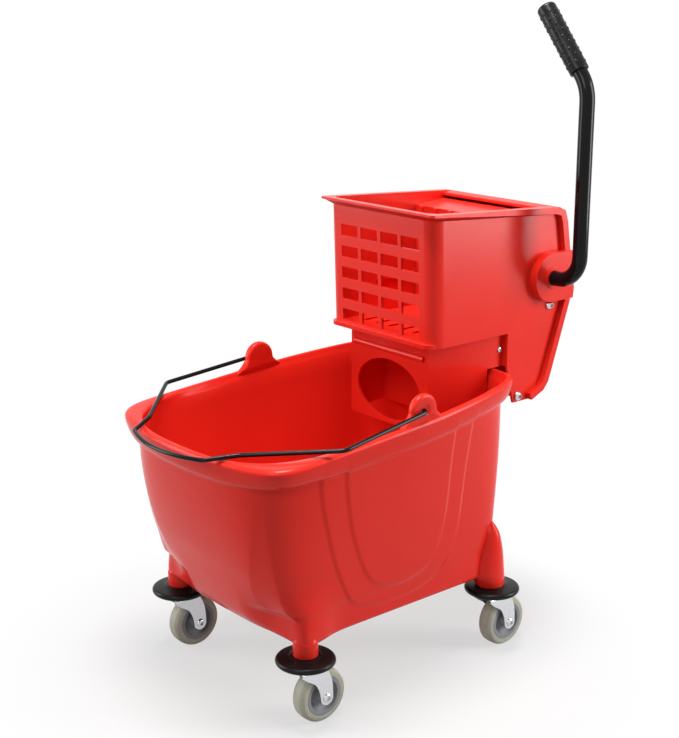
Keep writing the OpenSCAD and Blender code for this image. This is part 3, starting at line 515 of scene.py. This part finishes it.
# Share of the height, then the share of the flare at the front between the legs
BELLY_ROWS = np.array([(0.00, 0.00), (0.03, 0.10), (0.07, 0.20), (0.20, 0.38), (0.38, 0.58)])
# The swelling there: the half width where it is full and the length of its fade across, and where it starts
# ahead of the middle and the length over which it grows
BELLY_ACROSS, BELLY_AHEAD = (55, 70), (100, 40)
# The corner facets lie beyond this X and ahead of this Y
FACET_X, FACET_Y = 60, -110
# Shares of the height, and the facets' inner and outer edges in X there
FACET_ROWS = (0.12, 0.25, 0.566, 0.97)
FACET_EDGES = ((131, 97.4, 114.3, 138), (131.2, 137.5, 141.2, 140.5))
# The swelling of the low front corners: its top, and the height over which it grows
SWELL_TOP, SWELL_H = 205, 82
# Across and ahead: how far it goes, its middle and width along the wall, and where and over what length it
# fades in
SWELL_ACROSS = (18, -150, 36, 95, 40)
SWELL_AHEAD = (13, 152, 24, 115, 25)
# The height and width of the step along the shields, and their outlines in Y and Z
SHIELD_STEP, SHIELD_SLOPE = 2.2, 3.4
SHIELD_OUTER = [(-141, 336), (-135, 304), (-125, 270), (-113, 233), (-90, 181), (-70, 150), (-25, 139),
                (25, 136), (73, 145), (104, 170), (120, 210), (122, 253), (126, 315), (137, 382)]
SHIELD_INNER = [(-103, 344), (-97, 306), (-89, 273), (-76, 238), (-57, 197), (-35, 171), (10, 158), (54, 168),
                (73, 182), (85, 219), (90, 261), (90, 323), (95, 375)]
# They lie on the sides from this X outwards, and fade in over the second length
SHIELD_X, SHIELD_FADE = 120, 12
# How often the outlines get their corners cut off
LINE_ROUNDS = 2


def rim_z(y):
    return RIM_FRONT_Z + RIM_RISE * (y + RIM_HALF_L) / (2 * RIM_HALF_L)


def polar(half_w, front, rear, p_front, p_rear, bow, taper, a):
    """A rounded plan outline: front and rear have their own corners, and the rear half draws in."""
    c, s = np.cos(a), np.sin(a)
    p = np.where(s < 0, p_front, p_rear)
    r = (np.abs(c) ** p + np.abs(s) ** p) ** (-1 / p)
    u, w = r * c, r * s
    x = half_w * u * np.where(s < 0, 1, 1 - taper * w * w)
    return np.stack([x, np.where(s < 0, front * (1 - bow * u * u), rear) * w], 1)


def even_angles():
    """Angles that put the outlines' points at even steps along the rim."""
    a = np.linspace(0, 2 * math.pi, 12001)
    pts = polar(RIM_HALF_W, RIM_HALF_L, RIM_HALF_L, 9, 9, 0.11, REAR_TAPER, a)
    run = np.concatenate([[0], np.cumsum(np.linalg.norm(np.diff(pts, axis=0), axis=1))])
    return np.interp(np.linspace(0, run[-1], RING_N, endpoint=False), run, a)


ANGLES = even_angles()


def wall_ring(share, inset, z=None):
    """The wall's outline at a share of its height, or laid flat at z."""
    rows = (pchip(WALL_ROWS[:, 0], WALL_ROWS[:, k], [share])[0] for k in (1, 2, 3))
    half_w, front, rear = (base + flare * row - inset for base, flare, row in zip(BASE, FLARE, rows))
    p_front, p_rear = (square - loss * share for square, loss in (FRONT_SQUARE, REAR_SQUARE))
    bow = FRONT_BOW[0] + FRONT_BOW[1] * share
    xy = polar(half_w, front, rear, p_front, p_rear, bow, REAR_TAPER * share, ANGLES)
    h = BASE_Z + share * (rim_z(xy[:, 1]) - RIM_BAND - BASE_Z) if z is None else np.full(len(xy), z)
    return np.column_stack([xy, h])


def rim_ring(inset, drop, p_front=RIM_SQUARE, bow=RIM_BOW, p_rear=RIM_SQUARE):
    half_l = RIM_HALF_L - inset
    xy = polar(RIM_HALF_W - inset, half_l, half_l, p_front, p_rear, bow, REAR_TAPER, ANGLES)
    return np.column_stack([xy, rim_z(xy[:, 1]) - drop])


def inside_distance(points, poly):
    """Signed distance of (y, z) points to an open polyline that is closed far above; positive inside."""
    poly = np.array(poly, float)
    poly = np.concatenate([[poly[0] + (-6, 200)], poly, [poly[-1] + (8, 200)]])
    a, b = poly[:-1], poly[1:]
    d = b - a
    t = np.clip(((points[:, None] - a) * d).sum(2) / (d * d).sum(1), 0, 1)
    near = np.linalg.norm(points[:, None] - (a + t[..., None] * d), axis=2).min(1)
    y0, z0 = a[:, 0], a[:, 1]
    y1, z1 = b[:, 0], b[:, 1]
    y, z = points[:, :1], points[:, 1:]
    cross = ((z0 > z) != (z1 > z)) & (y < (y1 - y0) * (z - z0) / np.where(z1 == z0, 1e-9, z1 - z0) + y0)
    inside = cross.sum(1) % 2 == 1
    return np.where(inside, near, -near)


def smooth_step(x):
    x = np.clip(x, 0, 1)
    return x * x * (3 - 2 * x)


def smooth_line(points):
    """A line with its corners cut off, and those cuts' corners again."""
    pts = np.array(points, float)
    for _ in range(LINE_ROUNDS):
        q = 0.75 * pts[:-1] + 0.25 * pts[1:]
        r = 0.25 * pts[:-1] + 0.75 * pts[1:]
        pts = np.concatenate([pts[:1], np.stack([q, r], 1).reshape(-1, 2), pts[-1:]])
    return pts


def swelling(shape, low, along, over):
    size, middle, width, start, fade = shape
    return size * low * np.exp(-((along - middle) / width) ** 2) * smooth_step((over - start) / fade)


def sculpt_wall(ring, share):
    """Flat facets at the front corners, swellings low down and raised shields on the long sides."""
    out = ring.copy()
    at = np.clip(share, FACET_ROWS[0], FACET_ROWS[-1])
    low, high = (float(pchip(FACET_ROWS, edge, [at])[0]) for edge in FACET_EDGES)
    for side in (-1, 1):
        x, y = side * out[:, 0], out[:, 1]
        near = np.flatnonzero((x > FACET_X) & (y < FACET_Y))
        near = near[np.argsort(x[near])]
        ends = np.interp((low, high), x[near], y[near])
        flat = near[(x[near] > low) & (x[near] < high)]
        out[flat, 1] = np.interp(x[flat], (low, high), ends)
    # Between the legs the front's foot swells forwards, so that the crease above it runs out there.
    share = min(share, BELLY_ROWS[-1, 0])
    plain = pchip(WALL_ROWS[:, 0], WALL_ROWS[:, 2], [share])[0]
    belly = FLARE[1] * (pchip(*BELLY_ROWS.T, [share])[0] - plain)
    middle = 1 - smooth_step((np.abs(out[:, 0]) - BELLY_ACROSS[0]) / BELLY_ACROSS[1])
    out[:, 1] -= belly * middle * smooth_step((-out[:, 1] - BELLY_AHEAD[0]) / BELLY_AHEAD[1])
    # Low down, the front corners swell to meet the legs.
    wide = np.abs(out[:, 0])
    low = smooth_step((SWELL_TOP - out[:, 2]) / SWELL_H)
    across = swelling(SWELL_ACROSS, low, out[:, 1], wide)
    ahead = swelling(SWELL_AHEAD, low, wide, -out[:, 1])
    out[:, 0] += np.sign(out[:, 0]) * across
    out[:, 1] -= ahead
    yz = out[:, 1:].copy()
    side = smooth_step((np.abs(out[:, 0]) - SHIELD_X) / SHIELD_FADE)
    for line in (SHIELD_OUTER, SHIELD_INNER):
        lift = SHIELD_STEP * smooth_step(inside_distance(yz, smooth_line(line)) / SHIELD_SLOPE + 0.5)
        out[:, 0] += np.sign(out[:, 0]) * lift * side
    return out


def bucket_shell():
    """Rings up the outside, over the rim, down the inside and across the floor."""
    rings = [sculpt_wall(wall_ring(0, inset, z), 0) for inset, z in FOOT_ROWS]
    rings += [sculpt_wall(wall_ring(share, 0), share) for share in OUTER_SHARES]
    under = sculpt_wall(wall_ring(1, 0), 1)
    edge = rim_ring(0, RIM_BAND)
    for part, drop in BAND_ROWS:
        ring = under + part * (edge - under)
        ring[:, 2] = rim_z(ring[:, 1]) - drop
        rings.append(ring)
    rings += [rim_ring(RIM_ROUND - x, RIM_ROUND - y) for x, y in arc(0, 0, RIM_ROUND, 0, 90, 9)]
    rings += [rim_ring(inset, drop, p_front, LIP_BOW, p_rear) for inset, drop, p_front, p_rear in LIP_ROWS]
    rings += [wall_ring(share, WALL_T) for share in INNER_SHARES]
    rings += [wall_ring(share, inset) for share, inset in COVE_ROWS]
    rings += [wall_ring(0, inset, z) for inset, z in FLOOR_ROWS]
    return loft(rings)


EAR_Y, EAR_Z, EAR_R = 28, 410.15, 23
# How much wider than the knob the ear's foot is at each side, and how far it reaches below the rim
EAR_FOOT, EAR_SINK = 37, 14
# Rows round the ear's edge, as inset and X, and those of the dish, as radius and X
EAR_ROWS = ((4, 173.5), (2.4, 173.8), (0.9, 174.8), (0, 177.0), (0, 181.5), (0.8, 183.4), (2.2, 184.2),
            (4, 184.5))
DISH_ROWS = ((11, 184.5), (9.6, 184.3), (7.6, 183.2), (5.4, 182.4), (3.6, 182.2), (3.2, 181.8), (3.1, 178))
# Below the rim the inner rows draw out towards this X, by this share of the way
EAR_TUCK_X, EAR_TUCK = 179, 0.75
# They start to do so at this height above the rim, and do it fully at this depth below that
EAR_TUCK_Z, EAR_TUCK_H = 4, 12


def ear_mesh():
    """An ear: a round knob on a foot that flares into the rim, with a dish round the wire's hole."""
    pivot = np.array((EAR_Y, EAR_Z))
    s = np.linspace(0, 1, 16)
    w = EAR_R + EAR_FOOT * (1 - s) ** 1.6
    left, right = (np.stack([y, (rim_z(y) - EAR_SINK) * (1 - s) + EAR_Z * s], 1)
                   for y in (EAR_Y - w, EAR_Y + w))
    a = np.linspace(math.pi, 0, 37)[1:-1]
    knob = np.stack([EAR_Y + EAR_R * np.cos(a), EAR_Z + EAR_R * np.sin(a)], 1)
    line = np.concatenate([left, knob, right[::-1]])
    mid = np.gradient(line, axis=0)
    normal = np.stack([-mid[:, 1], mid[:, 0]], 1) / np.linalg.norm(mid, axis=1)[:, None]
    # The dish's points go round in step with the outline, so that the face between them stays even.
    turn = np.concatenate([np.radians(215 - 35 * s), a, np.radians(-35 * s)])
    ray = np.stack([np.cos(turn), np.sin(turn)], 1)

    def edge(inset, x):
        yz = line - inset * normal
        low = smooth_step((rim_z(yz[:, 0]) + EAR_TUCK_Z - yz[:, 1]) / EAR_TUCK_H)
        rear = np.clip(yz[:, 0], EAR_Y, None) ** 2 - EAR_Y ** 2
        inner = EAR_TUCK * low * max(EAR_TUCK_X - x, 0)
        return np.column_stack([x + inner - REAR_TAPER * RIM_HALF_W * rear / RIM_HALF_L ** 2, yz])

    def dish(r, x):
        return np.column_stack([np.full(len(line), x), pivot + r * ray])

    return loft([edge(*row) for row in EAR_ROWS] + [dish(*row) for row in DISH_ROWS])


LEG_SIDES = 48
# Rings of the legs on the right from the foot up: centre in X and Y, radius in X and Y, and Z
FRONT_LEG = [(147, -147, 16.4, 16.4, 101.6), (147, -147, 17, 17, 102.8), (147, -147, 17, 17, 120),
             (145, -145, 16.5, 16.5, 127), (139, -139, 14, 14, 136)]
REAR_LEG = [(145, 202, 20.5, 20.5, 100.6), (145, 202, 21.5, 21.5, 102), (144, 200.5, 23, 24, 112),
            (142, 199, 24.5, 26, 122), (141, 199, 25, 25, 134), (140.5, 200, 24, 22, 152),
            (140, 201, 19, 14, 182), (136, 200, 8, 3, 204)]


def ellipse_ring(cx, cy, ax, ay, z):
    n = LEG_SIDES
    a = np.linspace(0, 2 * math.pi, n, endpoint=False)
    return np.column_stack([cx + ax * np.cos(a), cy + ay * np.sin(a), np.full(n, z)])


def leg_meshes():
    out = []
    for rows in (FRONT_LEG, REAR_LEG):
        rows = np.array(rows, float)
        t = np.arange(len(rows))
        q = np.linspace(0, len(rows) - 1, 8 * (len(rows) - 1) + 1)
        dense = np.column_stack([pchip(t, rows[:, k], q) for k in range(5)])
        out.append(loft([ellipse_ring(*r) for r in dense]))
    return out


def make_bucket():
    parts = [bucket_shell(), both(ear_mesh())] + [both(m) for m in leg_meshes()]
    v, f = join(parts)
    add_mesh("bucket_body", v, f, "bucket_red", "bucket", "bucket", 50)


# Bail

BAIL_Z, BAIL_R = 410.1525, 3.0
# How far the bail falls for each millimetre ahead of its pivot
BAIL_FALL = (BAIL_Z - 378.8) / 275.5
# The bail's right half from the wire's end on, in X and ahead of the pivot
BAIL_SIDE = [(176.5, 0), (187.9, 0), (200, 152), (104, 244)]
# Radii of the bends at the corners after that end, and at the bow's end
BAIL_BENDS = [6, 14, 16, 12]
# The bow at the front: points, half width, reach at its ends, how much farther its middle reaches, and the
# radius of the bends
BOW_N, BOW_HALF_W, BOW_REACH, BOW_DEPTH, BOW_BEND = 15, 79, 284, 16, 60


def make_bail():
    bow = [(BOW_HALF_W * s, BOW_REACH + BOW_DEPTH * (1 - s * s)) for s in np.linspace(1, -1, BOW_N)]
    route = BAIL_SIDE + bow + [(-x, ahead) for x, ahead in BAIL_SIDE[::-1]]
    pts = [(x, EAR_Y - ahead, BAIL_Z - ahead * BAIL_FALL) for x, ahead in route]
    radii = BAIL_BENDS + [BOW_BEND] * (BOW_N - 2) + BAIL_BENDS[::-1]
    v, f = sweep(rounded_path(pts, radii, 2.0), BAIL_R, 20)
    add_mesh("bail_wire", v, f, "bail_black", "bail", "bail")


# Casters

CASTERS = {"fl": (-147.0, -147.0), "fr": (147.0, -147.0), "rl": (-147.0, 205.0), "rr": (147.0, 205.0)}
BOLT_SIDES = 36
WHEEL_Z, TRAIL = 38.1, 22
# The fork's sheet: top, thickness, radius of the bend, middle of a leg in X, and radius of its lower end
FORK_TOP, FORK_T, FORK_BEND, FORK_X, FORK_END = 87.1, 2.5, 5.0, 17.25, 10.5
# The fork's flat top: where it ends in Z, its radius, and how it narrows towards the bend
FORK_PLATE_Z, FORK_PLATE_R, FORK_NARROW_X, FORK_NARROW = 81.5, 22.5, 16, 0.55
# Below that, the leg's front and rear edges in Y, by shares of the way down to the axle
FORK_FRONT = ((0, 0.15, 0.45, 0.75, 1.0), (-22, -15, 3, 9.5, 11.5))
FORK_REAR = ((0, 0.15, 0.4, 0.7, 1.0), (22, 25.5, 30, 32, 32.5))
FORK_CHAMFER = 0.5
# Profiles, as radius and place along the axis; the hub's and the tyre's are halves
BUMPER = ([(5.55, 90.1), (14.5, 90.1), (15.5, 90.4), (30, 90.2)] + arc(36, 94.6, 4.5, -90, 90, 15)
          + [(30, 99.7), (25, 100.2), (21.8, 100.5)] + arc(19.8, 100.5, 1.1, 60, 120, 3)
          + [(18.4, 101.6), (5.55, 101.6)])
STEM = [(7.6, 80.2), (8.5, 80.9), (8.5, 83.7), (4.5, 84.2), (4.5, 87.5), (14.6, 87.5), (15, 87.9), (15, 89.7),
        (14.6, 90.1), (5.5, 90.1), (5.5, 136.4), (4.8, 137.1)]
FORK_PLATE = [(4.55, 84.6), (21.4, 84.6), (22, 85.2), (22, 86.5), (21.4, 87.1), (9, 87.1), (4.55, 87.1)]
# Heads of bolts: diameter, height and the socket's width; nuts: width and height
WHEEL_HEAD, WHEEL_NUT = (13, 3, 5.0), (11.3, 3)
TIE_HEAD, TIE_NUT = (14, 6, 5.6), (12.4, 5)
SCREW_HEAD, SCREW_NUT = (9, 3, 3.4), (8, 4)
WHEEL_SHAFT = [(3.6, -18.5), (4, -18.1), (4, 18.1), (3.6, 18.5)]
HUB = [(4.05, 15.6), (9.2, 15.6), (10, 14.8), (10.3, 7.4), (11.2, 6.2), (13, 5.6), (16.5, 5.4), (19, 6.4),
       (21.2, 8.6), (22.4, 11.0), (23.2, 11.9), (24.2, 12.0), (27.6, 12.0), (28, 11.6)]
TYRE = [(28.05, 11.5), (28.5, 12.0), (30.6, 12.0), (30.9, 11.5), (31.4, 11.5), (31.7, 11.95), (33.3, 11.7),
        (33.6, 11.1), (34.0, 11.05), (34.3, 11.4), (35.6, 10.5), (36.7, 9.2), (37.4, 7.8), (37.5, 7.3),
        (37.1, 7.0), (37.1, 6.6), (37.7, 6.3), (37.95, 4.4), (38.1, 2.2)]


def hex_ring(centre, across, s):
    """A hexagon about the X axis through centre, with points between its corners."""
    ang = np.linspace(0, 2 * math.pi, BOLT_SIDES, endpoint=False)
    r = across / 2 / np.cos((ang + math.pi / 6) % (math.pi / 3) - math.pi / 6)
    x = np.full(BOLT_SIDES, centre[0] + s)
    return np.column_stack([x, centre[1] + r * np.cos(ang), centre[2] + r * np.sin(ang)])


def socket_bolt(centre, d, t, across, side):
    """A button head with a hexagon socket, on an X axis; side is the way it faces."""
    r = d / 2
    prof = [(r - 0.4, 0), (r, 0.4)] + [(r * math.cos(a), 0.4 + (t - 0.4) * math.sin(a))
                                       for a in np.linspace(0.25, 1.05, 7)]
    prof.append((across * 0.62, t))
    rings = lathe([(q, side * s) for q, s in prof], BOLT_SIDES, centre, 0)
    rings += [hex_ring(centre, across * k, side * s) for k, s in ((1, t), (0.98, t - 0.3), (0.95, t * 0.3))]
    return loft(rings)


def hex_nut(centre, across, t, side):
    rows = ((0.93, 0), (1, 0.5), (1, t - 0.7), (0.92, t))
    return loft([hex_ring(centre, across * k, side * s) for k, s in rows])


def fork_side():
    """One leg of a fork with half the top plate: a sheet that turns down over a bend."""
    t, r = FORK_T / 2, FORK_BEND
    flat_z = FORK_TOP - t
    # The sheet's middle: X, Z and the way its outside faces
    line = [(s, flat_z, 0.0, 1.0) for s in np.linspace(7.0, FORK_X - r, 5)]
    for w in np.radians(np.linspace(0, 90, 9)[1:]):
        line.append((FORK_X - r + r * math.sin(w), flat_z - r + r * math.cos(w), math.sin(w), math.cos(w)))
    line += [(FORK_X, z, 1.0, 0.0) for z in np.linspace(flat_z - r, WHEEL_Z - FORK_END, 26)[1:]]
    e = FORK_CHAMFER
    rings = []
    for x, z, nx, nz in line:
        if z > FORK_PLATE_Z:
            half = math.sqrt(max(FORK_PLATE_R ** 2 - min(x, FORK_NARROW_X) ** 2 * FORK_NARROW, 1))
            a, b = -half, half
        elif z < WHEEL_Z:
            half = math.sqrt(max(FORK_END ** 2 - (WHEEL_Z - z) ** 2, 0.4))
            a, b = TRAIL - half, TRAIL + half
        else:
            q = (FORK_PLATE_Z - z) / (FORK_PLATE_Z - WHEEL_Z)
            a, b = (float(pchip(*edge, [q])[0]) for edge in (FORK_FRONT, FORK_REAR))
        ys = np.linspace(a + e, b - e, 9)
        outside, inside = [(t, y) for y in ys], [(-t, y) for y in ys[::-1]]
        spots = outside + [(t - e, b), (e - t, b)] + inside + [(e - t, a), (t - e, a)]
        rings.append(np.array([(x + nx * d, y, z + nz * d) for d, y in spots]))
    return loft(rings)


def other_half(profile):
    return [(r, -s) for r, s in profile[::-1]]


def make_caster(name, x, y):
    c = (x, y, 0)
    w = (x, y + TRAIL, WHEEL_Z)
    bumper = lathe_mesh(BUMPER, 72, c, 2, True)
    add_mesh("bumper_disc_" + name, *bumper, "bumper_black", "bucket", "bumper_" + name, 50)
    stem = lathe_mesh(STEM, 40, c, 2)
    add_mesh("stem_race_" + name, *stem, "fork_zinc", "bucket", "caster_stem_" + name, 40)

    v, f = both(fork_side())
    fork = join([lathe_mesh(FORK_PLATE, 56, c, 2, True), (v + np.array(c), f)])
    add_mesh("fork_sheet_" + name, *fork, "fork_zinc", "swivel_" + name, "caster_fork_" + name, 40)
    reach = WHEEL_SHAFT[-1][1]
    bolt = [lathe_mesh(WHEEL_SHAFT, 28, w, 0), socket_bolt((w[0] + reach, w[1], w[2]), *WHEEL_HEAD, 1),
            hex_nut((w[0] - reach, w[1], w[2]), *WHEEL_NUT, -1)]
    add_mesh("axle_bolt_" + name, *join(bolt), "bolt_chrome", "swivel_" + name, "wheel_axle_" + name, 35)

    hub = lathe_mesh(HUB + other_half(HUB), 64, w, 0, True)
    add_mesh("wheel_disc_" + name, *hub, "hub_grey", "wheel_" + name, "wheel_hub_" + name, 40)
    tyre = lathe_mesh(TYRE + [(TYRE[-1][0], 0)] + other_half(TYRE), 96, w, 0, True)
    add_mesh("wheel_tyre_" + name, *tyre, "tyre_grey", "wheel_" + name, "tyre_" + name, 40)


# Wringer

# The handle's cross axle
AXLE_Y, AXLE_Z = 340, 537
BASKET_FOOT, BASKET_H = 463, 190
WRINGER_TOP = BASKET_FOOT + BASKET_H
# The top falls from the front lip to the rear
TOP_FALL, LIP_FRONT, LIP_RUN = 14, 97.5, 256.4
# The lips' undersides lie at these depths, beyond this X or ahead of this Y, and rise by this
LIP_DEPTHS, LIP_X, LIP_Y, LIP_SLOPE = (6, 14), 112, 105, 6.5
# The walls beside the saddle lie within this X; their rear edges' Y, and how far these move back
SADDLE_WALL_X, SADDLE_WALL_Y, SADDLE_WALL_BACK = 102, 225, 5.5
# The front wall lies ahead of this Y; at its foot the skirt's front, from the second Y on, doesn't lean
FRONT_WALL_Y, SKIRT_FRONT_Y, FRONT_LEAN = 135, 128, 6
COLLAR = [(11.05, 106.5), (11.05, 125.1), (11.5, 125.5), (15.2, 125.5), (16, 124.8), (16, 124.0),
          (15.7, 123.5), (14, 123.5), (14, 106.9), (13.6, 106.5)]
TIE_ROD = [(3.6, -110.5), (4, -110), (4, 110), (3.6, 110.5)]
# Where the nuts' outer faces lie in X
TIE_NUT_X, SCREW_NUT_X = 106.5, 97
# The upper tie rod's place in Y and Z
UPPER_TIE = (348.0, 493.0)
SCREW = [(2.2, 93), (2.5, 93.5), (2.5, 101)]


def lip_shape(p):
    """The lips' undersides slope up to a thin outer edge, the walls beside the saddle reach farther back, and
    the front wall leans back towards its foot."""
    x, y, z = p
    depth = WRINGER_TOP - TOP_FALL * (y - LIP_FRONT) / LIP_RUN - z
    if LIP_DEPTHS[0] < depth < LIP_DEPTHS[1] and y < AXLE_Y and (abs(x) > LIP_X or y < LIP_Y):
        z += LIP_SLOPE
    if abs(y - SADDLE_WALL_Y) < 0.6 and abs(x) < SADDLE_WALL_X and z < BASKET_FOOT:
        y += SADDLE_WALL_BACK
    if y < FRONT_WALL_Y and (z > BASKET_FOOT + 0.6 or z > BASKET_FOOT - 0.1 and y < SKIRT_FRONT_Y):
        y += FRONT_LEAN * (WRINGER_TOP - min(z, WRINGER_TOP)) / BASKET_H
    return np.array([x, y, z])


def bolt_place(node):
    low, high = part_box(node)
    return (low[1] + high[1]) / 2 / MM, (low[2] + high[2]) / 2 / MM


def make_wringer():
    from_cad("wringer_housing", "wringer_shell", "wringer_red", "wringer", 1.4, 3, lip_shape)
    from_cad("rear_cover", "wringer_rear_cover", "wringer_red", "wringer", 0.9, 2)
    from_cad("press_plate", "press_board", "wringer_red", "press", 0.9, 2)
    collar = lathe_mesh(COLLAR, 56, (0, AXLE_Y, AXLE_Z), 0, True)
    for name, mesh in (("right", collar), ("left", mirrored(collar))):
        add_mesh("axle_collar_" + name, *mesh, "wringer_red", "wringer", "axle_bush_" + name, 40)
    for node, piece, (y, z) in (("upper_tie_rod", "tie_bolt_upper", UPPER_TIE),
                                ("lower_tie_rod", "tie_bolt_lower", bolt_place("lower_tie_rod"))):
        reach = TIE_ROD[-1][1]
        heads = [socket_bolt((side * reach, y, z), *TIE_HEAD, side) for side in (1, -1)]
        nut = hex_nut((TIE_NUT_X, y, z), *TIE_NUT, -1)
        rod = join([lathe_mesh(TIE_ROD, 24, (0, y, z), 0), *heads, nut, mirrored(nut)])
        add_mesh(piece, *rod, "bolt_chrome", "wringer", node, 35)
    y, z = bolt_place("side_screw_right")
    screw = join([lathe_mesh(SCREW, 20, (0, y, z), 0), socket_bolt((SCREW[-1][1], y, z), *SCREW_HEAD, 1),
                  hex_nut((SCREW_NUT_X, y, z), *SCREW_NUT, -1)])
    for name, mesh in (("right", screw), ("left", mirrored(screw))):
        add_mesh("panel_screw_" + name, *mesh, "bolt_chrome", "wringer", "side_screw_" + name, 35)


# Handle

TUBE_R = 11.0
TUBE_CORNERS = [(-133.9, AXLE_Y, AXLE_Z), (172, AXLE_Y, AXLE_Z), (172, AXLE_Y, 813.5),
                (90.9, AXLE_Y, 917.25)]
TUBE_BENDS = [38, 60]
# The grip's lower end and its lean from upright, in degrees
GRIP_PLACE, GRIP_LEAN = (159.28, AXLE_Y, 829.78), -38
GRIP = ([(11.05, 5), (13.2, 5), (13.8, 5.4), (14, 6), (14, 110)] + arc(9, 110, 5, 0, 90, 7)[1:]
        + [(6, 115.0), (2, 115.0)])
# Knobs on the grip: rows, knobs in a row, where the first row lies, the pitch, and the radius they stand at
KNOB_ROWS, KNOB_N, KNOB_START, KNOB_PITCH, KNOB_AT = 9, 8, 17, 10.4, 13.9
KNOB = ((2.5, -0.2), (2.3, 0.35), (1.7, 0.75), (0.8, 0.95))
END_CAP = [(2, -135.9), (12.6, -135.9), (14.2, -135.3), (15, -134), (15, -126.6), (14.4, -125.9),
           (11.05, -125.9), (11.05, -133.9), (2, -133.9)]


def knob_mesh(row, place):
    a = 2 * math.pi * (place + 0.5 * (row % 2)) / KNOB_N
    out, up = np.array((math.cos(a), math.sin(a), 0)), np.array((0, 0, 1))
    across = np.array((-math.sin(a), math.cos(a), 0))
    mid = out * KNOB_AT + up * (KNOB_START + KNOB_PITCH * row)
    t = np.linspace(0, 2 * math.pi, 12, endpoint=False)[:, None]
    return loft([mid + out * h + r * (np.cos(t) * across + np.sin(t) * up) for r, h in KNOB])


def make_handle():
    v, f = sweep(rounded_path(TUBE_CORNERS, TUBE_BENDS, 5.0), TUBE_R, 40)
    add_mesh("handle_bar", v, f, "tube_black", "handle", "handle_tube")

    lean = Matrix.Rotation(math.radians(GRIP_LEAN), 3, "Y")
    knobs = [knob_mesh(row, place) for row in range(KNOB_ROWS) for place in range(KNOB_N)]
    v, f = join([lathe_mesh(GRIP, 72, (0, 0, 0), 2)] + knobs)
    v = v @ np.array(lean).T + np.array(GRIP_PLACE)
    add_mesh("grip_sleeve", v, f, "grip_rubber", "handle", "hand_grip", 50)

    cap = lathe_mesh(END_CAP, 48, (0, AXLE_Y, AXLE_Z), 0, True)
    add_mesh("axle_cap", *cap, "bush_black", "handle", "axle_end_cap", 40)
    for name in ("left", "right"):
        from_cad("crank_arm_" + name, "crank_plate_" + name, "crank_steel", "handle", 0.8, 2)
        from_cad("pin_sleeve_" + name, "crank_sleeve_" + name, "sleeve_nylon", "handle", 0.6, 2)


make_camera()
make_world()
make_floor()
for lamp in LAMPS:
    area_light(*lamp)
make_bucket()
make_bail()
for key, (cx, cy) in CASTERS.items():
    make_caster(key, cx, cy)
make_wringer()
make_handle()
